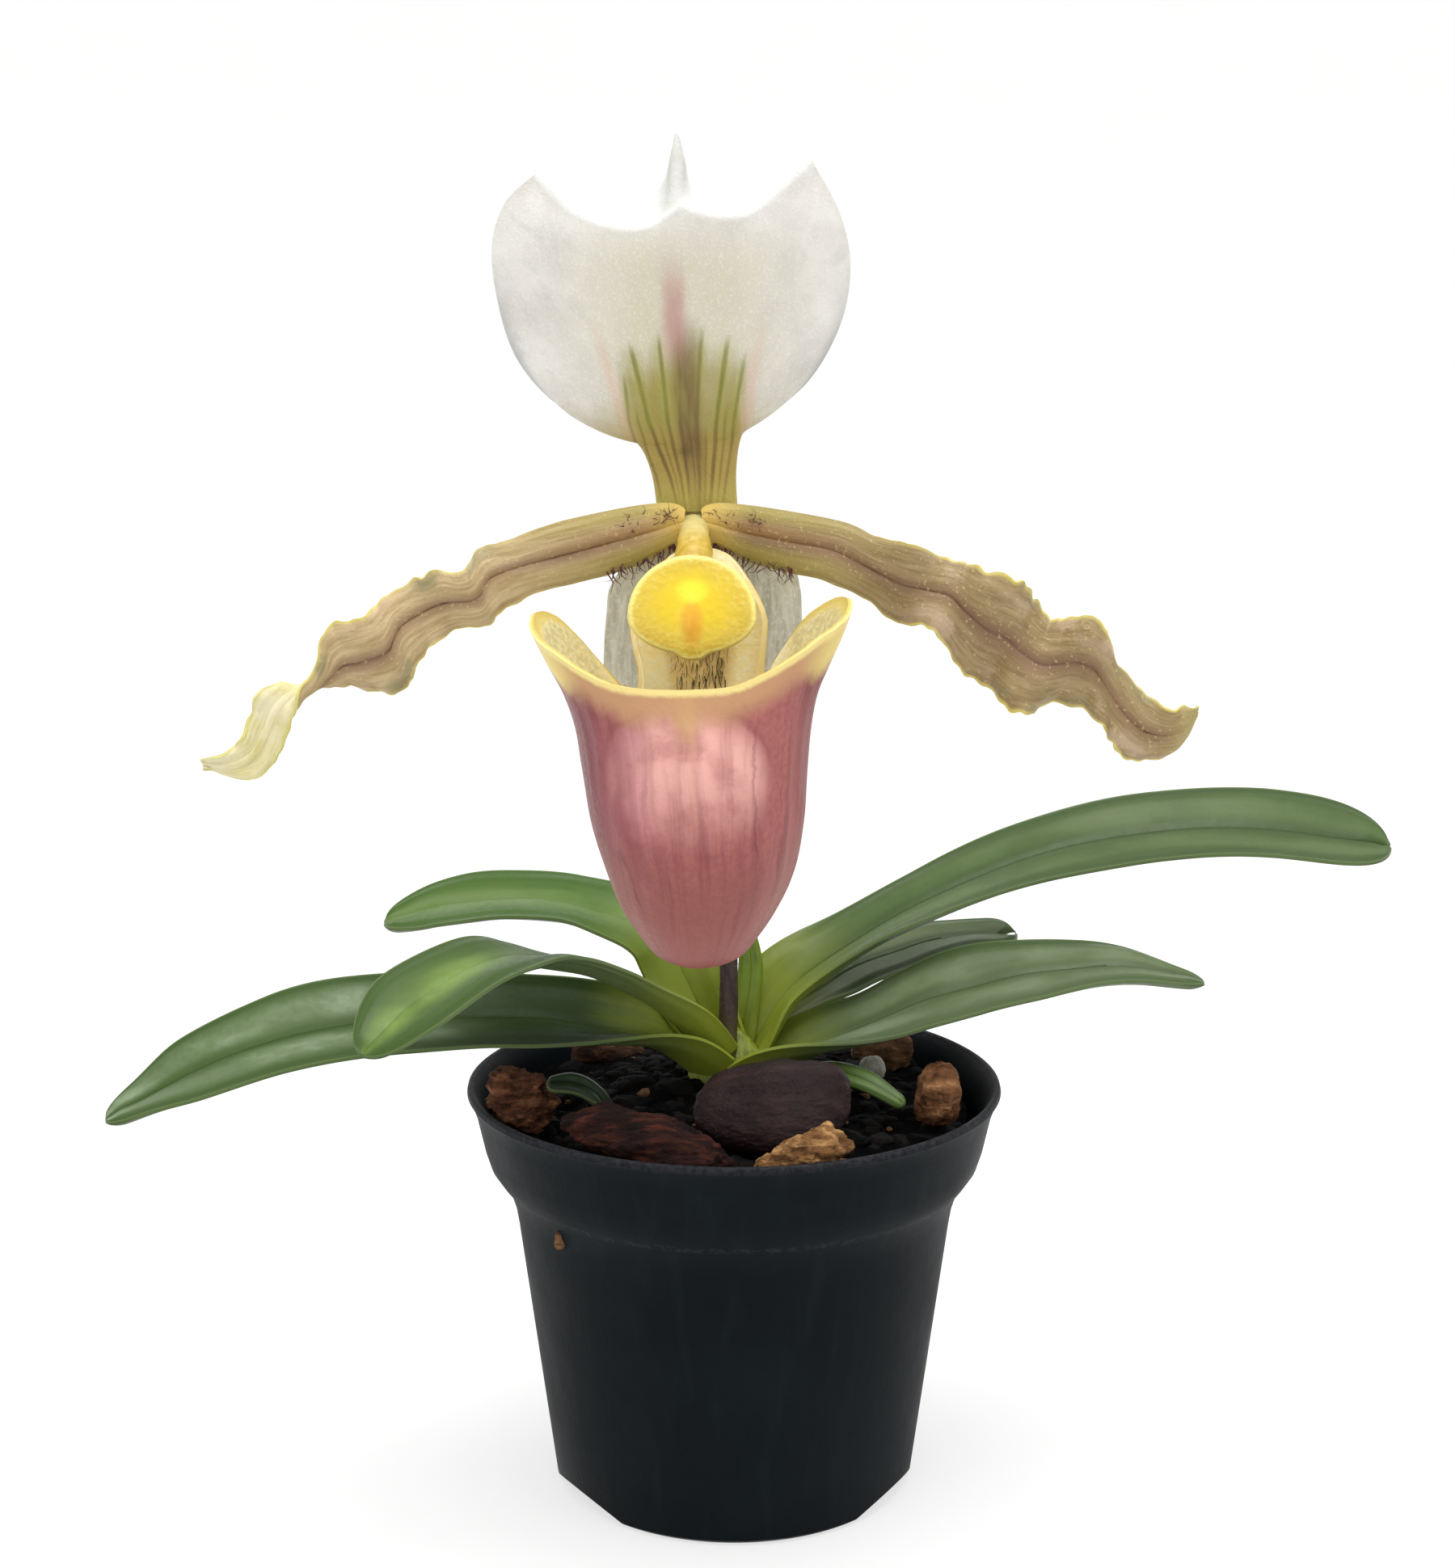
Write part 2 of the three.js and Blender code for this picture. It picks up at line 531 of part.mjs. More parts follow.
function synsepal() {
  const rows = Array.from({ length: 13 }, (_, i) => {
    const t = i / 12;
    const [z, left, right] = [0, 1, 2].map((k) => through(SYNSEPAL.map((row) => row[k]), t));
    return Array.from({ length: 9 }, (_, j) => {
      const side = (2 * j) / 8 - 1;
      const hollow = -0.9 * side ** 2 * smooth(t, 0.1, 0.4);
      const lean = -28.6 + 1.6 * smooth(t, 0, 0.35) - 0.9 * smooth(t, 0.6, 1);
      return V(lerp(left, right, j / 8), lean + hollow, z);
    });
  });
  return bladeSolid(rows, () => SEPAL_THICKNESS);
}

// Petals: depth Y, upper margin X and Z, lower margin X and Z, roll in degrees
const PETAL_COLUMNS = 4;
const PETALS = {
  petal_left: [
    [-29.9, -4.3, 98.9, -4.0, 95.9, 0], [-30.4, -7.6, 98.7, -7.3, 94.1, 0],
    [-31.0, -11.3, 98.1, -10.2, 93.1, 4], [-31.2, -15.2, 97.2, -12.8, 92.4, 8],
    [-31.6, -18.6, 95.9, -16.2, 91.7, -6], [-31.8, -21.0, 95.3, -18.8, 90.4, -12],
    [-32.2, -22.2, 93.6, -20.1, 89.1, 10], [-32.5, -24.9, 93.5, -22.4, 88.7, 16],
    [-32.8, -26.3, 92.8, -24.6, 87.6, -4], [-33.0, -28.5, 91.6, -25.9, 86.2, -16],
    [-33.2, -29.9, 90.2, -26.8, 84.0, 6], [-33.6, -32.0, 89.8, -28.7, 83.1, 18],
    [-33.8, -33.4, 88.7, -30.4, 83.6, 22], [-34.0, -34.3, 86.6, -31.9, 84.0, 48],
    [-34.3, -35.4, 85.4, -33.6, 83.3, 92], [-34.6, -37.2, 84.8, -35.2, 82.3, 138],
    [-34.8, -38.7, 83.8, -36.1, 80.9, 168], [-35.0, -39.4, 82.2, -37.1, 79.0, 184],
    [-35.3, -40.0, 80.5, -38.5, 77.2, 188], [-35.6, -41.2, 79.3, -40.6, 76.9, 184],
    [-35.9, -43.4, 78.6, -43.1, 77.9, 180],
  ],
  petal_right: [
    [-29.9, -2.6, 98.9, -2.8, 96.0, 0], [-30.4, 0.8, 98.7, 0.5, 94.3, 0],
    [-31.0, 4.6, 98.2, 4.3, 93.3, -4], [-31.2, 8.8, 97.4, 7.2, 92.7, -8],
    [-31.6, 11.6, 96.3, 10.4, 91.2, 8], [-31.9, 14.2, 95.9, 12.9, 89.2, 14],
    [-32.2, 16.8, 94.7, 14.6, 89.1, -10], [-32.5, 18.8, 94.3, 16.2, 88.5, -16],
    [-32.8, 20.0, 93.8, 17.6, 86.8, 4], [-33.0, 22.2, 93.4, 18.8, 84.7, 18],
    [-33.2, 23.5, 92.6, 20.8, 83.8, 8], [-33.5, 24.4, 91.4, 22.1, 82.6, -12],
    [-33.8, 25.7, 90.1, 23.7, 82.0, -18], [-34.0, 27.1, 89.8, 24.9, 82.5, 0],
    [-34.3, 28.7, 90.2, 26.6, 82.7, 16], [-34.6, 29.9, 89.2, 28.7, 82.2, 10],
    [-34.8, 30.7, 86.8, 30.1, 80.8, -6], [-35.0, 32.2, 85.1, 30.8, 79.4, -10],
    [-35.2, 33.6, 83.6, 32.3, 78.4, 0], [-35.5, 35.2, 82.9, 33.9, 78.4, 8],
    [-35.8, 36.6, 82.9, 35.8, 79.2, 6], [-36.0, 37.4, 83.1, 37.2, 82.0, 0],
  ],
};

function petal(stations) {
  const steps = 2 * (stations.length - 1);
  const value = (k, t) => through(stations.map((station) => station[k]), t);
  const middle = (t) => V((value(1, t) + value(3, t)) / 2, value(0, t), (value(2, t) + value(4, t)) / 2);
  const rows = Array.from({ length: steps + 1 }, (_, i) => {
    const t = i / steps;
    const half = V((value(1, t) - value(3, t)) / 2, 0, (value(2, t) - value(4, t)) / 2);
    const roll = turn(value(5, t));
    const facing = V(0, -1, 0).multiplyScalar(half.length());
    const across = half.clone().multiplyScalar(Math.cos(roll)).addScaledVector(facing, Math.sin(roll));
    const normal = facing.clone().multiplyScalar(Math.cos(roll)).addScaledVector(half, -Math.sin(roll));
    normal.normalize();
    return Array.from({ length: PETAL_COLUMNS + 1 }, (_, j) => {
      const s = (2 * j) / PETAL_COLUMNS - 1;
      return middle(t).addScaledVector(across, -s).addScaledVector(normal, 0.45 * (0.5 - s * s));
    });
  });
  return bladeSolid(rows, () => PETAL_THICKNESS);
}

// Lip: a deep pouch with low front rim, two ears, and a claw that runs up behind the column
const LIP_LEVELS = [ // height, centre X, half-width, front Y, back Y
  [63.7, -2.85, 1.5, -45.6, -42.4], [64.6, -2.85, 3.4, -47.7, -40.1], [66.2, -2.85, 4.75, -49.4, -38.1],
  [68.4, -2.85, 6.15, -50.8, -36.5], [71.4, -2.75, 7.4, -51.8, -35.2], [75.4, -3.0, 8.4, -52.1, -34.4],
  [79.4, -3.2, 8.85, -51.8, -33.8], [82.6, -3.3, 9.25, -51.2, -33.3], [85.2, -3.5, 10.0, -50.5, -32.9],
  [87.4, -3.65, 11.1, -50.0, -32.6], [90.4, -3.75, 12.5, -49.6, -32.3], [93.0, -3.7, 13.2, -49.4, -32.1],
  [96.0, -3.5, 13.4, -49.4, -32.0],
];
const LIP_RIM = [ // angle from the front in degrees, height of the margin on the left and on the right
  [0, 86.75, 86.75], [20, 86.75, 87.0], [35, 87.0, 88.0], [47, 87.7, 89.1], [58, 88.6, 90.1],
  [78, 89.6, 91.2], [92, 90.3, 91.9], [102, 90.9, 92.2], [112, 90.9, 92.0], [122, 90.1, 91.2],
  [130, 88.1, 89.9], [139, 84.9, 87.2], [145, 83.9, 85.2], [149, 84.9, 85.6], [152, 89.6, 89.6],
  [155, 92.8, 92.8], [160, 94.5, 94.5], [170, 95.3, 95.3], [180, 95.4, 95.4],
];
const CLAW = { // the back wall above the pouch: how far it narrows and moves to the right, and where
  narrowing: 0.42, narrowAngles: [120, 142], narrowHeights: [89, 96],
  shift: 0.73, shiftAngles: [130, 150], shiftHeights: [80, 86],
};
const LIP_ANGLES = [0, 15, 30, 45, 60, 73, 86, 96, 103, 110, 119, 129, 138, 145, 150, 155, 162, 170, 180];
const LIP_SHARES = [0, 0.035, 0.09, 0.18, 0.3, 0.44, 0.58, 0.72, 0.83, 0.92, 1]; // of the height to the rim

// The value in a column of a table whose first column is x
function tableAt(table, x, column) {
  let i = 0;
  while (i < table.length - 2 && table[i + 1][0] < x) i += 1;
  const share = THREE.MathUtils.clamp((x - table[i][0]) / (table[i + 1][0] - table[i][0]), 0, 1);
  return lerp(table[i][column], table[i + 1][column], share);
}

function lipPoint(angle, z, inset) {
  const [x, half, front, back] = [1, 2, 3, 4].map((column) => tableAt(LIP_LEVELS, z, column));
  const theta = turn(angle);
  const deep = (back - front) / 2 - inset;
  const behind = Math.abs(angle);
  const narrowed = smooth(z, ...CLAW.narrowHeights) * smooth(behind, ...CLAW.narrowAngles);
  const shift = CLAW.shift * smooth(z, ...CLAW.shiftHeights) * smooth(behind, ...CLAW.shiftAngles);
  const across = (half - inset) * (1 - CLAW.narrowing * narrowed) * Math.sin(theta);
  return V(x + shift + across, (front + back) / 2 - deep * Math.cos(theta), z);
}

function lip() {
  const bottom = LIP_LEVELS[0][0];
  const angles = [...LIP_ANGLES.slice(1).reverse().map((angle) => -angle), ...LIP_ANGLES.slice(0, -1)];
  const rim = (angle) => tableAt(LIP_RIM, Math.abs(angle), angle < 0 ? 1 : 2);
  const outside = LIP_SHARES.map((share) => (
    angles.map((angle) => lipPoint(angle, lerp(bottom, rim(angle), share), 0))
  ));
  const inside = LIP_SHARES.slice(1).reverse().map((share) => angles.map((angle) => {
    const top = rim(angle) - (share === 1 ? 0.1 : 0);
    return lipPoint(angle, lerp(bottom + LIP_WALL, top, share), LIP_WALL);
  }));
  const middle = (z) => V(LIP_LEVELS[0][1], (LIP_LEVELS[0][3] + LIP_LEVELS[0][4]) / 2, z);
  return ringSolid([...outside, ...inside], middle(bottom - 0.15), middle(bottom + LIP_WALL));
}

// Staminode: a broad shield with a round top, a shallow point below and a small boss
const STAMINODE = {
  at: [-3.45, -37.6, 90.6], half: 5.1, up: 4.9, down: 3.05, point: 0.45, lean: 16, sides: 28,
};
const STAMINODE_SHELLS = [ // share of the outline, distance out of its plane
  [0.18, 0.75], [0.4, 0.5], [0.7, 0.42], [0.94, 0.3], [1, 0], [0.94, -0.3], [0.5, -0.4],
];

function staminode() {
  const lean = turn(STAMINODE.lean);
  const place = (x, z, out) => V(
    STAMINODE.at[0] + x,
    STAMINODE.at[1] - out * Math.cos(lean) + z * Math.sin(lean),
    STAMINODE.at[2] + z * Math.cos(lean) + out * Math.sin(lean),
  );
  const rings = STAMINODE_SHELLS.map(([share, out]) => Array.from({ length: STAMINODE.sides }, (_, k) => {
    const angle = (2 * Math.PI * k) / STAMINODE.sides;
    const rise = Math.sin(angle);
    const z = (rise > 0 ? STAMINODE.up : STAMINODE.down) * rise - STAMINODE.point * bell(rise, -1, 0.02);
    return place(share * STAMINODE.half * Math.cos(angle), share * z, out);
  }));
  return ringSolid(rings, place(0, 0, 0.9), place(0, 0, -0.42));
}

// Column: a short post from the flower's middle to the back of the staminode
const COLUMN = [[-3.4, -28.3, 96.5], [-3.35, -31.0, 96.5], [-3.35, -33.6, 95.1], [-3.4, -35.7, 93.1]];

function column(grow = 0) {
  return stemSolid(COLUMN, [1.4, 1.25, 1.4, 1.3], 6, 12, grow);
}

// Mix: fills the pot, with a rough top that rises towards the crown
const MIX_RADII = [21, 17.6, 14, 10.6, 7.2, 3.6]; // of the rings that its top is made of

function mixHeight(x, y, waves) {
  const r = Math.hypot(x, y) / POT.rimRadius;
  const rough = waves.reduce((sum, [a, b, c]) => sum + Math.sin(a * x + b * y + c), 0);
  const mound = MIX.mound * (1 - smooth(r, 0.15, 0.95));
  return POT.height - MIX.rimDepth + mound + MIX.roughness * rough * (1 - smooth(r, 0.75, 0.95));
}

function mix() {
  const random = randomFrom(77);
  const slope = () => random() * 1.1 - 0.55;
  const waves = Array.from({ length: 8 }, () => [slope(), slope(), random() * 6]);
  const insideByHeight = [...POT_INSIDE].reverse().map(([r, z]) => [z, r]);
  const inner = (z) => tableAt(insideByHeight, z, 1) - 1.5 * GAP;
  const ringAt = (radius, height) => Array.from({ length: POT.sides }, (_, k) => {
    const angle = (2 * Math.PI * k) / POT.sides;
    const [x, y] = [radius * Math.cos(angle), radius * Math.sin(angle)];
    return V(x, y, height ?? mixHeight(x, y, waves));
  });
  const wallHeights = [MIX.floor, ...POT_INSIDE.slice(3, -1).reverse().map(([, z]) => z)];
  const walls = wallHeights.map((z) => ringAt(inner(z), z));
  const edge = inner(POT.height - MIX.rimDepth - 0.6);
  const tops = [edge, ...MIX_RADII].map((radius) => ringAt(radius));
  const floorRing = ringAt(inner(MIX.floor) / 2, MIX.floor);
  return ringSolid([floorRing, ...walls, ...tops], V(0, 0, MIX.floor), V(0, 0, mixHeight(0, 0, waves)));
}

// Assembly: each piece is cut clear of the pieces that were placed before it
const chips = Object.entries(CHIPS);
const potCutter = potWall(GAP);
const chipCutters = chips.map(([, chip]) => lump(chip, GAP));
const crownCutter = crown(GAP);
const leafNames = Object.keys(LEAVES);
const leafSolids = {};
leafNames.forEach((name, i) => {
  const earlier = leafNames.slice(0, i).map((other) => leaf(LEAVES[other], GAP));
  const chipsUnder = name.startsWith('leaf_stub') ? chipCutters : [];
  const cutters = [crownCutter, scape(GAP), ...chipsUnder, ...earlier];
  leafSolids[name] = cut(leaf(LEAVES[name]), cutters);
});
const leafCutters = leafNames.map((name) => leaf(LEAVES[name], GAP));

addPiece('pot', pot(), 0x1d2327, 0.55);
addPiece('potting_mix', cut(mix(), [...chipCutters, ...leafCutters, crownWithRoots(GAP)]), 0x15110f, 0.95);
chips.forEach(([name, chip]) => {
  addPiece(name, cut(lump(chip), [...leafCutters, crownCutter, potCutter]), chip.colour, chip.roughness);
});
addPiece('crown', cut(crownWithRoots(), [scape(GAP)]), 0x8f9a3e, 0.5);
leafNames.forEach((name) => addPiece(name, leafSolids[name], 0x4f7a34, 0.42));
addPiece('scape', scape(), 0x4a3436, 0.6);
addPiece('ovary', ovary(), 0x5c4a34, 0.6);
addPiece('floral_bract', cut(bract(), [ovary(0.3), scape(GAP)]), 0x7c8a4a, 0.55);
addPiece('dorsal_sepal', cut(dorsalSepal(), [column(GAP), ovary(GAP)]), 0xd8d8cf, 0.55);
addPiece('synsepal', cut(synsepal(), [column(GAP), ovary(GAP)]), 0xb9bcae, 0.6);
Object.entries(PETALS).forEach(([name, stations]) => {
  addPiece(name, cut(petal(stations), [column(GAP)]), 0x8a7142, 0.5);
});
addPiece('lip', cut(lip(), [column(GAP)]), 0xb07c74, 0.5);
addPiece('staminode', cut(staminode(), [column(GAP)]), 0xe6c83c, 0.45);
addPiece('column', column(), 0xd9c25a, 0.5);

export default group;
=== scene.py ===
# %% [markdown]
# A slipper orchid in flower stands in a small black nursery pot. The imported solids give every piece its
# place and size. Here each one is replaced by a finer piece of the same form, with its own finish:
# soft plastic, bark, satin leaves, a powdery white sepal, ruffled petals and a veined rose pouch.

# %% Load the frame
import math
import random
from functools import lru_cache

import bpy
import numpy as np
from mathutils import Matrix, Vector, noise


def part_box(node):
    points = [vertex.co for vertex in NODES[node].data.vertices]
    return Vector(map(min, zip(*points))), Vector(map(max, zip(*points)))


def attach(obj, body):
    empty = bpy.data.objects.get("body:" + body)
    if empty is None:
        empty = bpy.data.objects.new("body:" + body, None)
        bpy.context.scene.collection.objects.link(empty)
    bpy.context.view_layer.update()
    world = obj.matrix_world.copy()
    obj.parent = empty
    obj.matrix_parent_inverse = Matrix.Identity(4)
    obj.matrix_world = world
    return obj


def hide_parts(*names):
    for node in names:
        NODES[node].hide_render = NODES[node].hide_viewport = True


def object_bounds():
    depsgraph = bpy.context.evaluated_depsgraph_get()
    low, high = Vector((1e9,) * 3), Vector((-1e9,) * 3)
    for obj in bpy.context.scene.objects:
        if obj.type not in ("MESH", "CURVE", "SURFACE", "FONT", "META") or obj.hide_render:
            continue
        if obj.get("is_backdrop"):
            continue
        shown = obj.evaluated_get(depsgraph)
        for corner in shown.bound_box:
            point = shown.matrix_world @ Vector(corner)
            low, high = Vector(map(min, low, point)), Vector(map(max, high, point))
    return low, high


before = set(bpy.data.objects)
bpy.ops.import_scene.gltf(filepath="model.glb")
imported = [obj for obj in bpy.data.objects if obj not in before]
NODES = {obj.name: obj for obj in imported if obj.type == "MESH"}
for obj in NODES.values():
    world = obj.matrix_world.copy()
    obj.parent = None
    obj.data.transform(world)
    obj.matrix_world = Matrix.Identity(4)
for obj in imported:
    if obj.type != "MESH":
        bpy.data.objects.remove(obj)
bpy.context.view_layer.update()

MM = 0.001  # the lists of points below are in millimetres, as a gardener would measure the plant
bpy.ops.object.select_all(action="DESELECT")

# %% [markdown]
# A plant is made of smooth curves through a few points. Two helpers draw them: one gives a number that
# changes smoothly from station to station, the other a point on a curve through points in space.

# %% Smooth curves
def smooth(x, start, end):
    k = min(max((x - start) / (end - start), 0.0), 1.0)
    return k * k * (3 - 2 * k)


def blend(a, b, k):
    return a + (b - a) * k


def bell(x, centre, width):
    return math.exp(-(((x - centre) / width) ** 2))


def cubic(a, b, start, end, w):
    """A value that goes from a to b with the slopes start and end, at w from 0 to 1."""
    return (2 * a - 2 * b + start + end) * w**3 + (3 * b - 3 * a - 2 * start - end) * w**2 + start * w + a


def through(values, t):
    """A smooth number through evenly spaced values, at t from 0 to 1."""
    last = len(values) - 1
    i = min(int(t * last), last - 1)
    w = t * last - i
    before, a, b, after = values[max(i - 1, 0)], values[i], values[i + 1], values[min(i + 2, last)]
    return cubic(a, b, (b - before) / 2, (after - a) / 2, w)


class Curve:
    """A centripetal curve through points, which never loops where the points lie close together."""

    def __init__(self, points):
        self.points = [np.array(p, float) for p in points]
        self.samples = None

    def at(self, t):
        p, last = self.points, len(self.points) - 1
        i = min(int(t * last), last - 1)
        w = t * last - i
        before = p[i - 1] if i > 0 else 2 * p[0] - p[1]
        after = p[i + 2] if i + 2 <= last else 2 * p[last] - p[last - 1]
        four = [before, p[i], p[i + 1], after]
        gap = [max(np.linalg.norm(four[k + 1] - four[k]) ** 0.5, 1e-3) for k in range(3)]
        start = (four[1] - four[0]) / gap[0] - (four[2] - four[0]) / (gap[0] + gap[1])
        start = (start + (four[2] - four[1]) / gap[1]) * gap[1]
        end = (four[2] - four[1]) / gap[1] - (four[3] - four[1]) / (gap[1] + gap[2])
        end = (end + (four[3] - four[2]) / gap[2]) * gap[1]
        return cubic(four[1], four[2], start, end, w)

    def direction(self, t, step=1e-3):
        d = self.at(min(t + step, 1.0)) - self.at(max(t - step, 0.0))
        return d / np.linalg.norm(d)

    def axes(self, t):
        """Three directions: along the curve, across it and upright to both."""
        along = self.direction(t)
        across = np.array([1.0, 0, 0]) - along[0] * along
        across /= np.linalg.norm(across)
        return along, across, np.cross(along, across)

    def at_length(self, share):
        """The point at a share of the curve's length."""
        if self.samples is None:
            ts = np.linspace(0, 1, 201)
            steps = np.linalg.norm(np.diff([self.at(t) for t in ts], axis=0), axis=1)
            self.samples = ts, np.concatenate([[0], np.cumsum(steps)]) / steps.sum()
        return self.at(float(np.interp(share, self.samples[1], self.samples[0])))


# %% [markdown]
# Leaves, sepals and petals are all thin blades. Each starts as a flat grid, which brings its own UV map
# from base to tip. Its points are then laid where the plant's form puts them, and Solidify gives the
# blade its thickness, thinner at the margins through a vertex group. A grid was chosen over extruding
# row by row, because every row of a ruffled blade is different. A "side" attribute remembers the face.

# %% Blades
def active(name):
    piece = bpy.context.object
    piece.name = name
    piece.data.name = name
    return piece


def pick(*pieces):
    """Selects these pieces and no others, with the first one active."""
    bpy.ops.object.select_all(action="DESELECT")
    for piece in pieces:
        piece.select_set(True)
    bpy.context.view_layer.objects.active = pieces[0]


def apply_modifier(piece, kind, **settings):
    bpy.context.view_layer.objects.active = piece
    modifier = piece.modifiers.new(kind.lower(), kind)
    for setting, value in settings.items():
        setattr(modifier, setting, value)
    bpy.ops.object.modifier_apply(modifier=modifier.name)


def grid(name, columns, rows, surface):
    """A grid primitive laid on surface(s, t), which gives a point in mm; s and t run from 0 to 1."""
    bpy.ops.object.select_all(action="DESELECT")
    bpy.ops.mesh.primitive_grid_add(x_subdivisions=columns, y_subdivisions=rows, size=1, calc_uvs=True)
    piece = active(name)
    for vertex in piece.data.vertices:
        s, t = round(vertex.co.x + 0.5, 6), round(vertex.co.y + 0.5, 6)
        vertex.co = Vector(surface(s, t)) * MM
    return piece


def thicken(piece, thickness, margin=0.45, rim=0.12, wall=0.0, front=True):
    """Gives a blade its thickness in mm, less at the margins, and notes which side is its front."""
    mesh = piece.data
    count = len(mesh.vertices)
    layer = mesh.uv_layers[0].data
    shares = np.ones(count)
    for loop in mesh.loops:
        u, v = layer[loop.index].uv
        edge = min(u, 1 - u, (1 - v) * 2) if wall == 0 else (1 - v) * 2
        shares[loop.vertex_index] = blend(margin, 1, smooth(edge, 0, rim))
    group = piece.vertex_groups.new(name="thickness")
    for index, share in enumerate(shares):
        group.add([index], float(share), "REPLACE")
    before = np.array([v.co for v in mesh.vertices])
    normals = np.array([v.normal for v in mesh.vertices])
    apply_modifier(piece, "SOLIDIFY", thickness=thickness * MM, offset=wall, vertex_group=group.name)
    mesh = piece.data
    after = np.array([v.co for v in mesh.vertices])
    first = np.einsum("ij,ij->i", after[:count] - before, normals) > 0
    if wall:
        first[:] = True
    side = (np.concatenate([first, ~first]) == front).astype(np.float32)
    attribute = mesh.attributes.new("side", "FLOAT", "POINT")
    attribute.data.foreach_set("value", side[: len(mesh.vertices)])
    piece.vertex_groups.clear()
    return piece


def merge(piece, distance=0.004):
    """Joins the points that lie within a distance in mm and turns all faces outwards."""
    pick(piece)
    bpy.ops.object.mode_set(mode="EDIT")
    bpy.ops.mesh.select_all(action="SELECT")
    bpy.ops.mesh.remove_doubles(threshold=distance * MM)
    bpy.ops.mesh.normals_make_consistent(inside=False)
    bpy.ops.object.mode_set(mode="OBJECT")
    return piece


def finish(piece, material, slot, *nodes, angle=60):
    """Gives a piece smooth shading and its material, and hides the solids that it stands for; slot is not
    used.
    """
    pick(piece)
    bpy.ops.object.shade_smooth_by_angle(angle=math.radians(angle))
    piece.data.materials.clear()
    piece.data.materials.append(material)
    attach(piece, "root")
    if nodes:
        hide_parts(*nodes)
    piece.data.calc_loop_triangles()
    print(f"{piece.name}: {len(piece.data.loop_triangles)} triangles")


# %% [markdown]
# Stems, the pouch and the yellow shield are closed forms. They also start as grids, rolled up so that
# the first and last columns meet, and the end rows shrink to one point. Merging by distance closes
# them, and the normals are then made to point outwards.

# %% Sleeves
STEM_DOME = 0.35  # how far a stem's rounded end stands out, as a share of its radius
STEM_RIBS = 6
STEM_SWELLINGS = {"round": 1.4, "along": 14}


def sleeve(name, columns, rows, surface):
    return merge(grid(name, columns, rows, surface))


def stem(name, points, radii, columns, rows, ribs=0.0, rough=0.0, cap=3):
    """A round stem along a curve, with domed ends of cap rows, ribs and small swellings."""
    curve = Curve(points)

    @lru_cache(maxsize=None)
    def section(t):
        return curve.at(t), *curve.axes(t), through(radii, t)

    def surface(s, v):
        row = v * rows
        t = min(max((row - cap) / (rows - 2 * cap), 0.0), 1.0)
        middle, along, across, up, radius = section(t)
        out = max(cap - row, row - rows + cap, 0.0) / cap
        dome = math.cos(out * math.pi / 2)
        push = math.sin(out * math.pi / 2) * radius * STEM_DOME * (1 if row > cap else -1)
        angle = 2 * math.pi * (s % 1.0)
        level, rise = math.cos(angle), math.sin(angle)
        swell = STEM_SWELLINGS["round"]
        place = Vector((level * swell, rise * swell, t * STEM_SWELLINGS["along"]))
        reach = radius * dome * (1 + ribs * math.cos(STEM_RIBS * angle) + rough * noise.noise(place))
        return middle + along * push + across * (reach * level) + up * (reach * rise)

    return sleeve(name, columns, rows, surface)


# %% [markdown]
# Shader maths is easier to read as sums than as boxes and wires. A Wire is one output of a node, and
# adding, multiplying or dividing wires adds the Math nodes. A Paint is a material being mixed: every
# other node comes from its one method, node(), and cover() lays one more colour over the mixed ones.

# %% Paints
def srgb(red, green, blue):
    """A colour given on a screen's scale, 0 to 255, in the linear values that shaders use."""
    def linear(c):
        c /= 255
        return c / 12.92 if c <= 0.04045 else ((c + 0.055) / 1.055) ** 2.4
    return (linear(red), linear(green), linear(blue), 1.0)


class Wire:
    def __init__(self, paint, socket):
        self.paint, self.socket = paint, socket

    def math(self, operation, other=None, swap=False):
        values = [self] if other is None else ([other, self] if swap else [self, other])
        return self.paint.node("Math", dict(enumerate(values)), operation=operation)

    def __add__(self, other):
        return self.math("ADD", other)

    def __sub__(self, other):
        return self.math("SUBTRACT", other)

    def __rsub__(self, other):
        return self.math("SUBTRACT", other, swap=True)

    def __mul__(self, other):
        return self.math("MULTIPLY", other)

    def __truediv__(self, other):
        return self.math("DIVIDE", other)

    def __pow__(self, other):
        return self.math("POWER", other)

    def __abs__(self):
        return self.math("ABSOLUTE")

    __radd__, __rmul__ = __add__, __mul__

    def fade(self, start, end, low=0.0, high=1.0):
        """A smooth step from low to high as the value goes from start to end."""
        sockets = {"Value": self, "From Min": start, "From Max": end, "To Min": low, "To Max": high}
        return self.paint.node("MapRange", sockets, interpolation_type="SMOOTHSTEP")


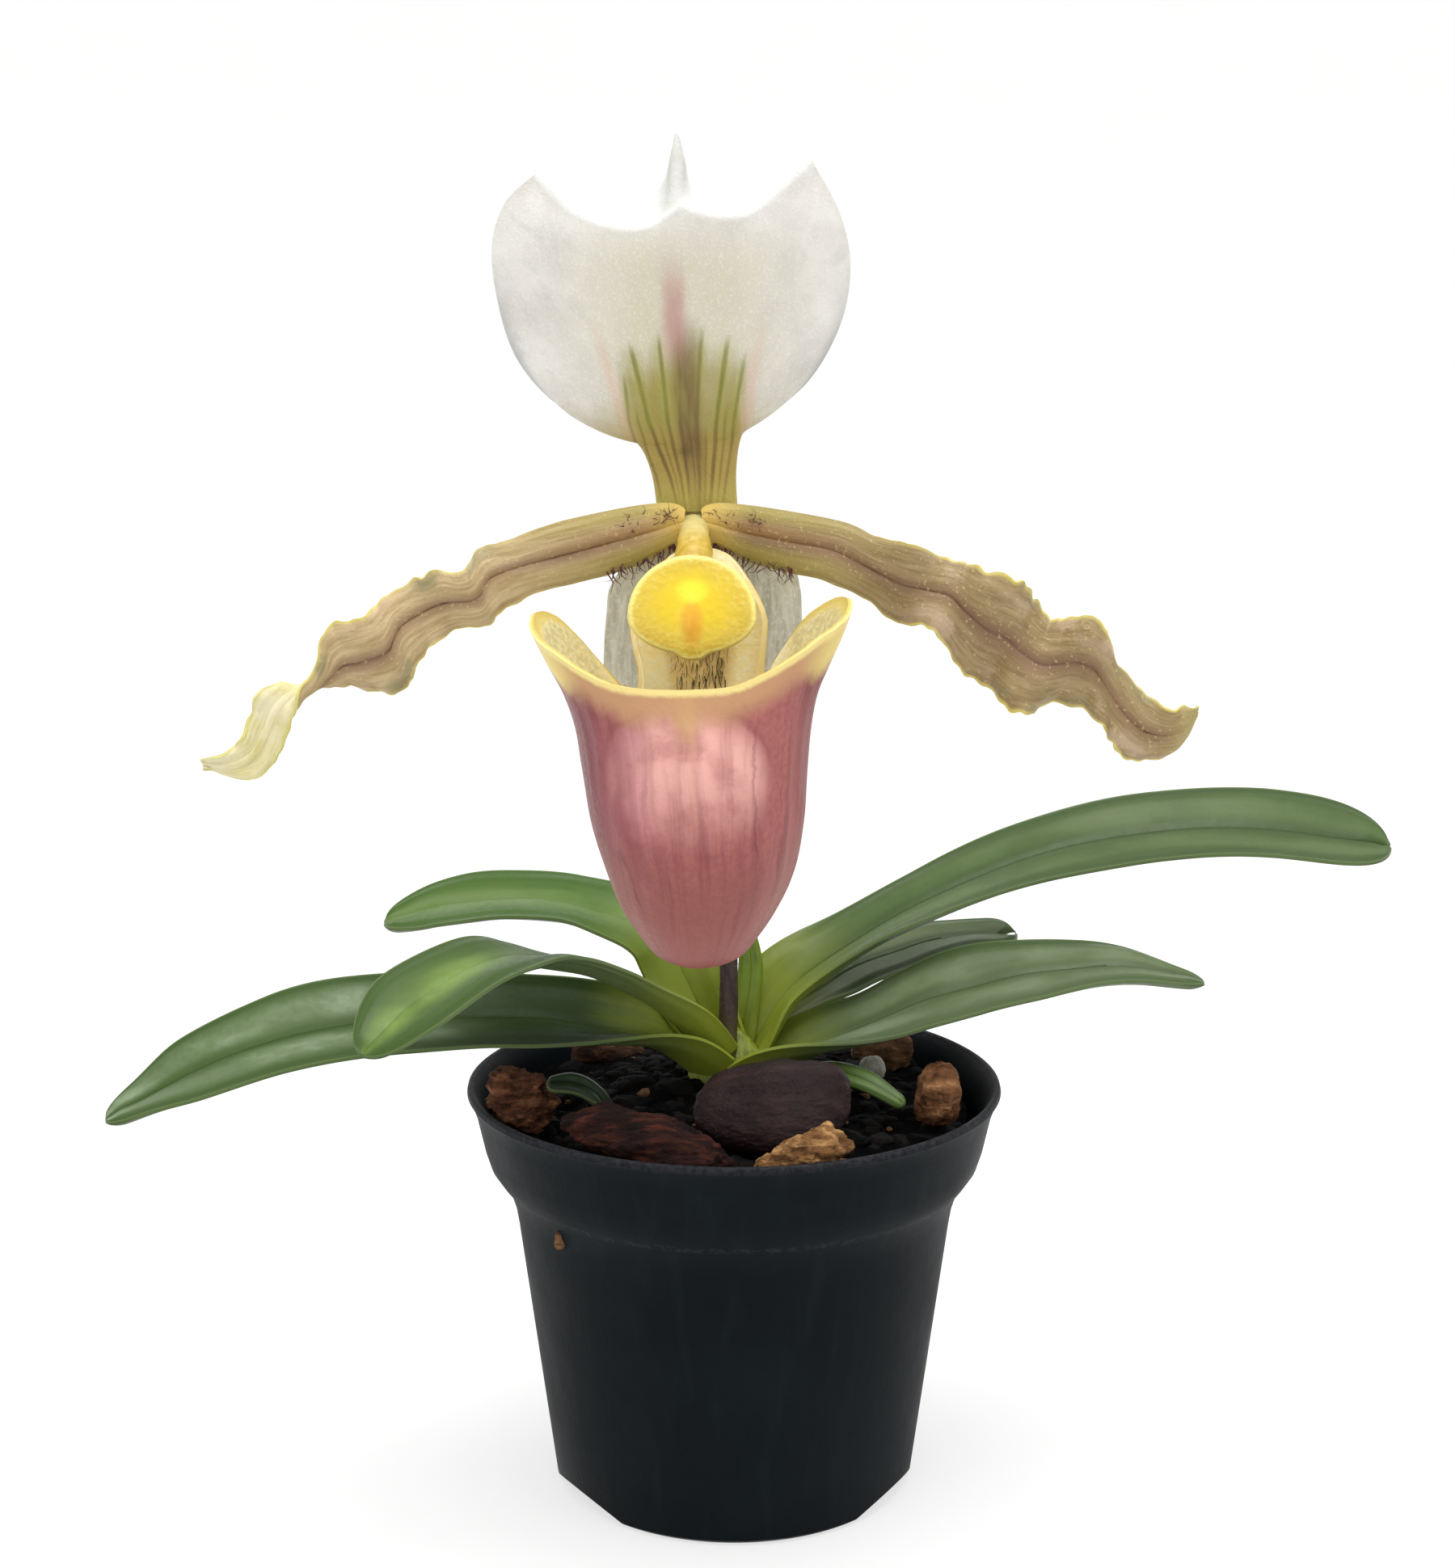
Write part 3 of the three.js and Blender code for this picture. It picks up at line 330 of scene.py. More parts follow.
class Paint:
    def __init__(self, name, roughness=0.5, **sockets):
        self.material = bpy.data.materials.new(name)
        self.material.use_nodes = True
        self.tree = self.material.node_tree
        self.shader = self.tree.nodes["Principled BSDF"]
        self.colour = None  # what has been mixed so far
        self.set("Roughness", roughness)
        for socket, value in sockets.items():
            self.set(socket.replace("_", " ").title().replace("Ior", "IOR"), value)

    def set(self, socket, value):
        self.plug(self.shader.inputs[socket], value)

    def plug(self, socket, value):
        if isinstance(value, Wire):
            self.tree.links.new(value.socket, socket)
        else:
            socket.default_value = value

    def node(self, kind, sockets=None, output=0, stops=None, **settings):
        node = self.tree.nodes.new("ShaderNode" + kind)
        for setting, value in settings.items():
            setattr(node, setting, value)
        for element, (position, colour) in zip_stops(node, stops or []):
            element.position, element.color = position, colour
        for socket, value in (sockets or {}).items():
            self.plug(node.inputs[socket], value)
        return Wire(self, node.outputs[output])

    def mix(self, factor, a, b):
        return self.node("Mix", {0: factor, 6: a, 7: b}, output=2, data_type="RGBA")

    def cover(self, factor, colour):
        """Lays a colour over what the paint has so far, where the factor is above 0."""
        self.colour = self.mix(factor, self.colour, colour)

    def place(self, scale=(1, 1, 1), turn=(0, 0, 0)):
        """Object coordinates in millimetres, stretched and turned."""
        here = self.node("TexCoord", output="Object")
        size = tuple(k / MM for k in scale)
        radians = tuple(math.radians(a) for a in turn)
        return self.node("Mapping", {"Vector": here, "Rotation": radians, "Scale": size})

    def parts(self, vector):
        first = self.node("SeparateXYZ", {0: vector})
        return [Wire(self, socket) for socket in first.socket.node.outputs]

    def uv(self, name="UVMap"):
        return self.parts(self.node("UVMap", uv_map=name))[:2]

    def vector(self, x, y, z=0.0):
        return self.node("CombineXYZ", {0: x, 1: y, 2: z})

    def noise(self, vector, scale=1.0, detail=3.0, roughness=0.5):
        sockets = {"Vector": vector, "Scale": scale, "Detail": detail, "Roughness": roughness}
        return self.node("TexNoise", sockets)

    def ramp(self, value, stops):
        return self.node("ValToRGB", {0: value}, stops=stops)

    def bump(self, height, depth):
        """Relief of a depth in mm."""
        self.set("Normal", self.node("Bump", {"Height": height, "Distance": depth * MM, "Strength": 1.0}))


def zip_stops(node, stops):
    """Makes room for the stops of a colour ramp and pairs them with its elements."""
    if not stops:
        return []
    elements = node.color_ramp.elements
    while len(elements) < len(stops):
        elements.new(0.5)
    return list(zip(elements, stops))


# %% [markdown]
# The camera comes first, so that each piece can be looked at as it is made. It stands where the
# photograph was taken: 25 cm in front of the plant, as high as its upper sepal, looking slightly down.

# %% Camera
CAMERA_PLACE = (-0.63, -250.0, 120.4)  # mm
CAMERA_PITCH = 11.56  # degrees below the level
CAMERA_LENS = 61.74  # mm
CAMERA_SENSOR = 36.0  # mm along the photograph's longer side

bpy.ops.object.camera_add(
    location=Vector(CAMERA_PLACE) * MM, rotation=(math.radians(90 - CAMERA_PITCH), 0, 0)
)
camera = active("camera")
camera.data.lens = CAMERA_LENS
camera.data.sensor_width = CAMERA_SENSOR
camera.data.sensor_fit = "AUTO"
camera.data.clip_start = 10 * MM
bpy.context.scene.camera = camera
print("camera at", tuple(round(c, 4) for c in camera.location))

# %% [markdown]
# The light is soft and comes mostly from above, as in a white tent. A pale bowl, flat in the middle and
# rising all round, gives every view the same plain background. A wide softbox hangs overhead, and two
# weaker ones fill the front.

# %% Stage and light
BOWL = [(0.9, 0.0), (1.2, 0.05), (1.42, 0.2), (1.52, 0.45), (1.55, 1.6)]  # radius, height in m
PAPER_GLOW = 0.66
WORLD_LIGHT = 0.8
LIGHTS = {  # place, width in m and power in W
    "overhead": ((0.02, -0.08, 0.85), 0.7, 6.0),
    "front_left": ((-0.55, -0.75, 0.45), 0.5, 0.6),
    "front_right": ((0.7, -0.5, 0.35), 0.5, 0.4),
}
LIGHT_AIM = (0.0, -0.01, 0.07)

bpy.ops.mesh.primitive_circle_add(vertices=96, radius=BOWL[0][0], fill_type="NGON")
floor = active("floor")
bpy.ops.object.mode_set(mode="EDIT")
bpy.ops.mesh.select_all(action="SELECT")
bpy.ops.mesh.delete(type="ONLY_FACE")
bpy.ops.mesh.select_all(action="SELECT")
for (r0, z0), (r1, z1) in zip(BOWL, BOWL[1:]):
    bpy.ops.mesh.extrude_edges_move(TRANSFORM_OT_translate={"value": (0, 0, z1 - z0)})
    bpy.ops.transform.resize(value=(r1 / r0, r1 / r0, 1), center_override=(0, 0, 0))
bpy.ops.mesh.select_all(action="DESELECT")
bpy.ops.object.mode_set(mode="OBJECT")
for edge in floor.data.edges:
    edge.select = all(floor.data.vertices[i].co.z < 1e-6 for i in edge.vertices)
bpy.ops.object.mode_set(mode="EDIT")
bpy.ops.mesh.select_mode(type="EDGE")
bpy.ops.mesh.edge_face_add()
bpy.ops.object.mode_set(mode="OBJECT")
bpy.ops.object.shade_smooth_by_angle(angle=math.radians(50))

paper = Paint("studio_paper", roughness=0.9)
grain = paper.noise(paper.place(), scale=0.02, detail=2)
paper.set("Base Color", paper.mix(grain, srgb(150, 150, 149), srgb(156, 156, 155)))
paper.set("Emission Color", srgb(255, 255, 255))
paper.set("Emission Strength", PAPER_GLOW)
floor.data.materials.append(paper.material)
floor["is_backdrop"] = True

for name, (place, width, power) in LIGHTS.items():
    bpy.ops.object.light_add(type="AREA", location=place)
    light = active(name)
    light.data.shape = "DISK"
    light.data.size = width
    light.data.energy = power
    light.rotation_euler = (Vector(LIGHT_AIM) - Vector(place)).to_track_quat("-Z", "Y").to_euler()
world = bpy.context.scene.world or bpy.data.worlds.new("world")
bpy.context.scene.world = world
world.use_nodes = True
world.node_tree.nodes["Background"].inputs["Color"].default_value = srgb(250, 251, 252)
world.node_tree.nodes["Background"].inputs["Strength"].default_value = WORLD_LIGHT
bpy.context.scene.view_settings.view_transform = "Standard"
print("lights:", ", ".join(LIGHTS))

# %% [markdown]
# The pot is thin black moulded plastic: a plain cone with a flared collar, a small step under it, and
# three flat cuts at its foot where water drains. It is turned from half a section with Spin,
# then cut. The finish is matte, with faint smudges, a lighter rim, a lighter line along the step,
# streaks of painted sheen and painted shade towards the foot.

# %% Pot section
pot_low, pot_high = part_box("pot")
POT_HEIGHT = (pot_high.z - pot_low.z) / MM
POT_RIM = (pot_high.x - pot_low.x) / 2 / MM
POT_BASE = 17.6
POT_FLOOR = 1.1
POT_STEPS = 160
COLLAR_STEP = 31.2  # height of the step under the collar
NOTCH = {"count": 3, "first_angle": 92, "width": 13, "height": 2.6, "long": 6, "deep": 3}
POT_OUTSIDE = [  # radius and height, from the middle of the base to the rim
    (0, 0), (16.9, 0), (POT_BASE, 0.5), (20.9, 25.6), (21.0, 26.4), (21.3, 28.2), (21.9, 30.1), (22.9, 31.4),
    (23.7, 32.6), (24.2, 34.2), (24.95, 37.6), (25.4, 38.9), (POT_RIM - 0.05, 39.55),
    (POT_RIM - 0.15, 39.95), (POT_RIM - 0.4, POT_HEIGHT),
]
POT_INSIDE = [  # from the rim to the middle of the floor
    (POT_RIM - 0.7, POT_HEIGHT - 0.05), (24.7, 39.4), (24.1, 38.0), (23.6, 35.8), (23.2, 34.2), (22.5, 32.8),
    (21.5, 31.4), (20.7, 30.0), (20.2, 28.0), (19.9, 25.6), (16.8, POT_FLOOR + 0.4), (16.3, POT_FLOOR),
    (0, POT_FLOOR),
]
POT_SECTION = POT_OUTSIDE + POT_INSIDE
print("pot:", round(POT_HEIGHT, 2), "mm high,", round(2 * POT_RIM, 2), "mm across the rim")

# %% Spin the pot and cut its foot
bpy.ops.object.select_all(action="DESELECT")
bpy.ops.mesh.primitive_plane_add(size=1)
pot = active("pot_shell")
bpy.ops.object.mode_set(mode="EDIT")
bpy.ops.mesh.select_mode(type="VERT")
bpy.ops.mesh.select_all(action="SELECT")
bpy.ops.mesh.merge(type="CENTER")
for (r0, z0), (r1, z1) in zip(POT_SECTION, POT_SECTION[1:]):
    step = Vector((r1 - r0, 0, z1 - z0)) * MM
    bpy.ops.mesh.extrude_vertices_move(TRANSFORM_OT_translate={"value": step})
bpy.ops.mesh.select_all(action="SELECT")
bpy.ops.mesh.spin(steps=POT_STEPS, angle=2 * math.pi, center=(0, 0, 0), axis=(0, 0, 1))
bpy.ops.object.mode_set(mode="OBJECT")
merge(pot)

for i in range(NOTCH["count"]):
    angle = math.radians(NOTCH["first_angle"] + 360 / NOTCH["count"] * i)
    bpy.ops.mesh.primitive_cube_add(size=1)
    wedge = active("wedge")
    wedge.data.transform(
        Matrix.Rotation(angle, 4, "Z")
        @ Matrix.Translation(Vector((POT_BASE + 0.6, 0, NOTCH["height"] - 2.5)) * MM)
        @ Matrix.Rotation(-math.pi / 4, 4, "Y")
        @ Matrix.Diagonal(Vector((NOTCH["long"], NOTCH["width"], NOTCH["deep"], 1 / MM)) * MM)
    )
    apply_modifier(pot, "BOOLEAN", object=wedge, operation="DIFFERENCE", solver="EXACT")
    bpy.data.objects.remove(wedge)
print("pot after the cuts:", len(pot.data.polygons), "faces")

# %% Black plastic
plastic = Paint("black_plastic", roughness=0.5, specular_ior_level=0.07)
here = plastic.place()
_, _, z = plastic.parts(here)
smudge = plastic.noise(here, scale=0.09, detail=5, roughness=0.6)
streak = plastic.noise(plastic.place(scale=(0.5, 0.5, 0.05)), scale=1.0, detail=4)
fine = plastic.noise(here, scale=2.2, detail=3)
rim = z.fade(POT_HEIGHT - 0.9, POT_HEIGHT - 0.2)
plastic.colour = plastic.mix(smudge.fade(0.35, 0.7), srgb(5, 12, 16), srgb(12, 19, 23))
# Painted sheen: lighter streaks running up and down the pot.
plastic.cover(streak.fade(0.5, 0.8, 0, 0.35), srgb(22, 29, 32))
# Painted shade: the plastic is darker towards the foot.
plastic.cover(z.fade(6, 0, 0, 0.5), srgb(2, 6, 9))
# A lighter broken line along the step under the collar, and a lighter rim.
collar_line = abs(z - COLLAR_STEP).fade(0.5, 0.1) * fine.fade(0.4, 0.62)
plastic.cover(collar_line * 0.4, srgb(46, 50, 52))
plastic.cover(rim * fine.fade(0.35, 0.65, 0.25, 0.8), srgb(48, 47, 52))
plastic.set("Base Color", plastic.colour)
plastic.set("Roughness", smudge.fade(0.3, 0.75, 0.46, 0.6))
plastic.bump(fine * 0.5 + streak, 0.04)
finish(pot, plastic.material, "pot_plastic", "pot", angle=32)

# %% [markdown]
# The mix is black and crumbly, with pieces of bark lying loose on it. Its body is a grid turned into a
# round mound, and the crumbs are a few rough lumps, each modelled once and copied many times.

# %% Mound
MIX = {  # heights and radii in mm
    "rim_depth": 2.9, "mound": 3.1, "rough": 0.55, "floor": 1.5, "edge": 22.6, "neck": 20.2, "foot": 16.2,
}
TOP_ROWS = 0.7  # share of the grid's rows on the mound's top
WALL_ROWS = 0.8  # share of the other rows on its wall; the rest close the underside
NECK_ROWS = 0.3  # share of the wall's rows above the pot's step


def mix_height(x, y):
    r = math.hypot(x, y) / POT_RIM
    rough = noise.fractal(Vector((x, y, 3.0)) * 0.45, 0.9, 2.2, 4)
    mound = MIX["mound"] * (1 - smooth(r, 0.15, 0.95))
    return POT_HEIGHT - MIX["rim_depth"] + mound + MIX["rough"] * rough * (1 - 0.6 * smooth(r, 0.75, 0.95))


def on_ring(radius, angle, height=None):
    """A point at a height or, with none given, on top of the mix."""
    x, y = radius * math.cos(angle), radius * math.sin(angle)
    return x, y, mix_height(x, y) if height is None else height


def mound(s, v):
    angle = 2 * math.pi * (s % 1.0)
    if v <= TOP_ROWS:
        return on_ring(MIX["edge"] * (v / TOP_ROWS), angle)
    share = (v - TOP_ROWS) / (1 - TOP_ROWS)
    if share >= WALL_ROWS:
        return on_ring(MIX["foot"] * (1 - share) / (1 - WALL_ROWS), angle, MIX["floor"])
    k = share / WALL_ROWS
    if k < NECK_ROWS:
        radius = blend(MIX["edge"], MIX["neck"], smooth(k, 0, NECK_ROWS))
    else:
        radius = blend(MIX["neck"], MIX["foot"], (k - NECK_ROWS) / (1 - NECK_ROWS))
    top = on_ring(MIX["edge"], angle)[2]
    return on_ring(radius, angle, blend(top, MIX["floor"], k))


mix_body = sleeve("mix_mound", 150, 90, mound)

soil = Paint("bark_compost", roughness=0.95, specular_ior_level=0.05)
here = soil.place()
crumbly = soil.noise(here, scale=1.1, detail=6, roughness=0.65)
specks = soil.noise(here, scale=2.6, detail=3)
soil.colour = soil.ramp(crumbly, [
    (0.3, srgb(1, 1, 1)), (0.5, srgb(3, 3, 3)), (0.62, srgb(8, 6, 5)), (0.75, srgb(30, 21, 15)),
])
soil.set("Base Color", soil.mix(specks.fade(0.7, 0.76), soil.colour, srgb(70, 52, 36)))
soil.bump(crumbly, 0.9)
finish(mix_body, soil.material, "bark_mix", "potting_mix")

# %% [markdown]
# Scattering copies needs places and turns. A copy's vertices are worked out with a matrix and all
# copies of one kind become one mesh, because hundreds of objects would be slow to handle.

# %% Lumps and scattering
FULL_TURN = 6.28  # radians


def template(kind, build, **settings):
    """A shape modelled once: its points and faces, read from a primitive that build() has shaped."""
    getattr(bpy.ops.mesh, f"primitive_{kind}_add")(**settings)
    shape = bpy.context.object
    points = np.array([build(Vector(v.co)) for v in shape.data.vertices])
    faces = [tuple(p.vertices) for p in shape.data.polygons]
    bpy.data.objects.remove(shape)
    return points, faces


def scatter(name, shapes, places):
    """Copies of shapes in one mesh; each place is a shape's number and a matrix in mm."""
    points, faces, count = [], [], 0
    for number, matrix in places:
        shape, sides = shapes[number]
        m = np.array(matrix)
        points.append(shape @ m[:3, :3].T + m[:3, 3])
        faces += [tuple(i + count for i in side) for side in sides]
        count += len(shape)
    mesh = bpy.data.meshes.new(name)
    mesh.from_pydata((np.concatenate(points) * MM).tolist(), [], faces)
    piece = bpy.data.objects.new(name, mesh)
    bpy.context.scene.collection.objects.link(piece)
    return piece


def rough_lump(seed, rough=0.35):
    offset = Vector((seed * 7.3, seed * 3.1, seed * 5.7))
    return lambda p: p * (1 + rough * noise.fractal(p * 1.3 + offset, 0.8, 2.0, 3))


FLAKE = {"at": (-16.15, -14.35, 29.2), "size": (0.55, 0.4, 1.1)}  # a flake of bark stuck to the pot
CRUMB_KINDS = 6
CRUMBS = {"brown": 420, "tan": 64}
crumb_shapes = [
    template("ico_sphere", rough_lump(seed), subdivisions=2, radius=1) for seed in range(CRUMB_KINDS)
]
chance = random.Random(4)


def crumb_place(size_low, size_high, inner=3.4, outer=22.0, sink=0.2):
    """A crumb between two radii on the mix, sunk into it by a share of its size."""
    angle = chance.uniform(0, 2 * math.pi)
    radius = math.sqrt(chance.uniform(inner**2, outer**2))
    size = blend(size_low, size_high, chance.random() ** 2)
    x, y, z = on_ring(radius, angle)
    spin = Matrix.Rotation(chance.uniform(0, FULL_TURN), 4, "Z")
    tip = Matrix.Rotation(chance.uniform(-0.6, 0.6), 4, "X")
    shape = Matrix.Diagonal((size, size * chance.uniform(0.5, 0.8), size * chance.uniform(0.3, 0.6), 1))
    return chance.randrange(CRUMB_KINDS), Matrix.Translation((x, y, z - size * sink)) @ spin @ tip @ shape


# %% Bark finishes
def bark(name, dark, middle, light, turn=(20, 10, 30), rough=0.85, scale=1.0):
    """Bark splits in long plates, so its noise is stretched along one direction."""
    paint = Paint(name, roughness=rough, specular_ior_level=0.12)
    stretched = paint.place(scale=(0.18 * scale, 0.9 * scale, 1.1 * scale), turn=turn)
    plates = paint.noise(stretched, detail=5, roughness=0.6)
    patches = paint.noise(paint.place(), scale=0.35 * scale, detail=4)
    grain = paint.noise(paint.place(), scale=3.0, detail=3)
    paint.colour = paint.ramp(plates, [(0.32, dark), (0.5, middle), (0.68, light)])
    paint.cover(patches.fade(0.45, 0.7, 0, 0.7), dark)
    paint.set("Base Color", paint.mix(grain.fade(0.4, 0.7, 0, 0.3), paint.colour, middle))
    paint.bump(plates + grain * 0.3, 0.5)
    return paint.material


crumb_brown = bark("crumb_brown", srgb(2, 2, 2), srgb(7, 5, 4), srgb(24, 16, 12))
crumb_tan = bark("crumb_tan", srgb(52, 34, 22), srgb(92, 62, 40), srgb(138, 104, 70))
crumbs = scatter("mix_crumbs_brown", crumb_shapes, [crumb_place(0.7, 2.4) for _ in range(CRUMBS["brown"])])
finish(crumbs, crumb_brown, "bark_mix")
tan_places = [crumb_place(0.4, 1.1, inner=8) for _ in range(CRUMBS["tan"])]
tan_places.append((2, Matrix.Translation(FLAKE["at"]) @ Matrix.Diagonal((*FLAKE["size"], 1))))
crumbs = scatter("mix_crumbs_tan", crumb_shapes, tan_places)
finish(crumbs, crumb_tan, "tan_bark")

# %% [markdown]
# Each loose chip keeps the form of its solid. The solid's mesh is copied, its loose triangles are
# merged, Subdivision rounds it, and noise along the normals breaks its surface.

# %% Chips
def fine_copy(node, name, levels=2, relief=0.0, wave=0.6, stretch=(1, 1, 1)):
    """A finer copy of a solid, with relief in mm."""
    mesh = NODES[node].data.copy()
    piece = bpy.data.objects.new(name, mesh)
    bpy.context.scene.collection.objects.link(piece)
    merge(piece)
    apply_modifier(piece, "SUBSURF", levels=levels, render_levels=levels)
    if relief:
        normals = [v.normal.copy() for v in piece.data.vertices]
        for vertex, normal in zip(piece.data.vertices, normals):
            p = Vector([a * b for a, b in zip(vertex.co / MM, stretch)]) * wave
            height = noise.fractal(p, 0.85, 2.1, 5)
            vertex.co += normal * height * relief * MM
    return piece


CHIPS = {  # node: slot, relief, stretch of its grain, finish
    "bark_chip_dark": ("dark_bark", 0.22, (0.5, 1, 1), bark(
        "bark_dark", srgb(22, 11, 12), srgb(36, 21, 22), srgb(54, 36, 35),
        turn=(0, 0, 8), rough=0.5, scale=0.6)),
    "bark_chip_red": ("red_bark", 0.5, (0.4, 1.2, 1.6), bark(
        "bark_red", srgb(12, 7, 7), srgb(34, 17, 14), srgb(78, 38, 26), turn=(0, 0, -14))),
    "bark_chip_orange": ("orange_bark", 0.7, (1, 0.5, 1.3), bark(
        "bark_orange", srgb(36, 22, 15), srgb(98, 62, 44), srgb(156, 108, 76), turn=(10, -20, 60))),
    "bark_chip_tan": ("tan_bark", 0.5, (1.2, 1, 0.5), bark(
        "bark_tan", srgb(60, 38, 24), srgb(118, 80, 52), srgb(160, 118, 82), turn=(0, 70, 20))),
    "crumb_gold": ("tan_bark", 0.7, (1, 1, 1), bark(
        "bark_gold", srgb(66, 44, 26), srgb(140, 100, 62), srgb(196, 154, 102), scale=1.6)),
    "bark_chip_back_left": ("orange_bark", 0.4, (0.5, 1, 1.2), bark(
        "bark_brown", srgb(22, 13, 10), srgb(62, 40, 27), srgb(108, 74, 50), turn=(0, 0, 38))),
    "bark_chip_back": ("red_bark", 0.4, (0.5, 1, 1.2), bark(
        "bark_umber", srgb(15, 9, 8), srgb(40, 25, 19), srgb(74, 48, 35), turn=(0, 0, -10))),
    "bark_chip_back_right": ("tan_bark", 0.4, (1, 0.5, 1.2), bark(
        "bark_fawn", srgb(40, 26, 17), srgb(92, 64, 42), srgb(138, 102, 70), turn=(0, 0, 24))),
}
for node, (slot, relief, stretch, material) in CHIPS.items():
    finish(fine_copy(node, node + "_fine", 3, relief, 0.55, stretch), material, slot, node)

grit = Paint("perlite_white", roughness=0.9)
pores = grit.noise(grit.place(), scale=3.5, detail=4)
grit.set("Base Color", grit.mix(pores, srgb(140, 135, 122), srgb(206, 202, 192)))
grit.bump(pores, 0.25)
finish(fine_copy("perlite_grain", "perlite_fine", 2, 0.2, 1.2), grit.material, "perlite", "perlite_grain")

# %% [markdown]
# The leaves are straps, folded along the middle at their foot and nearly flat further out. Their upper
# face is a satin green with fine lines along it and a sunk midrib. Its lit halves are painted paler, with
# patches of painted sheen, and on two leaves the inner part that other leaves shade gets painted shade.
# The foot is yellow-green, where light never reached it. Each leaf follows a spine of a few points. A
# blade laid to the left has its upper face on the side of its normals, and one laid to the right has it
# on the other side.

# %% Leaf finish
SHEEN = srgb(92, 110, 62)
UNDERSIDE = srgb(62, 78, 46), srgb(94, 108, 72)
CLEAR_RIB = 0.3  # a midrib fainter than this leaves the middle of the blade pale


def leaf_green(name, dark, light, foot, foot_end, sheen=SHEEN, sheen_from=0.0, rib=0.55, shine=0.2,
               shade=None):
    """A satin leaf: dark rib and margins, lit halves painted paler, painted shade where unlit, painted sheen,
    a foot of another colour.
    """
    paint = Paint(name, roughness=0.36, specular_ior_level=shine, coat_weight=shine * 0.15,
                  coat_roughness=0.3)
    u, v = paint.uv()
    side = paint.node("Attribute", output="Fac", attribute_name="side")
    lines = paint.noise(paint.vector(u * 16, v * 2.2), detail=3, roughness=0.55)
    cloud = paint.noise(paint.place(scale=(1.0, 1.6, 1.6)), scale=0.13, detail=4)
    speckle = paint.noise(paint.place(), scale=1.4, detail=3)
    from_middle = abs(u - 0.5)
    band = from_middle.fade(0.34, 0.04)
    if rib > CLEAR_RIB:
        band = from_middle.fade(0.04, 0.2) * from_middle.fade(0.46, 0.26)
    lit = v.fade(sheen_from - 0.12, sheen_from + 0.12) if sheen_from else v.fade(-1, 0)
    paint.colour = paint.mix(lines.fade(0.3, 0.7, 0.26, 0.46), dark, light)
    # Painted shade where the blade is not lit, below sheen_from; on its lit part, halves painted paler and
    # patches of painted sheen.
    paint.cover((1 - lit) * 0.75, shade or dark)
    paint.cover(band * lit * cloud.fade(0.32, 0.62, 0.25, 0.9), light)
    painted_sheen = band * lit * cloud.fade(0.42, 0.68, 0.25, 0.85) * speckle.fade(0.3, 0.6, 0.7, 1.0)
    paint.cover(painted_sheen, sheen)
    paint.cover(from_middle.fade(0.022, 0.004, 0, rib), dark)
    paint.cover(from_middle.fade(0.478, 0.496, 0, 0.35), srgb(118, 138, 84))
    under = paint.mix(lines.fade(0.35, 0.68), *UNDERSIDE)
    paint.colour = paint.mix(side.fade(0.45, 0.55), under, paint.colour)
    foot_mask = (v + (lines - 0.5) * 0.08 + (cloud - 0.5) * 0.1).fade(foot_end, 0.03)
    paint.set("Base Color", paint.mix(foot_mask, paint.colour, foot))
    paint.set("Roughness", speckle.fade(0.3, 0.7, 0.32, 0.44))
    paint.bump(lines * 0.2 + speckle * 0.35 + from_middle.fade(0.0, 0.02) * 0.5, 0.07)
    return paint.material


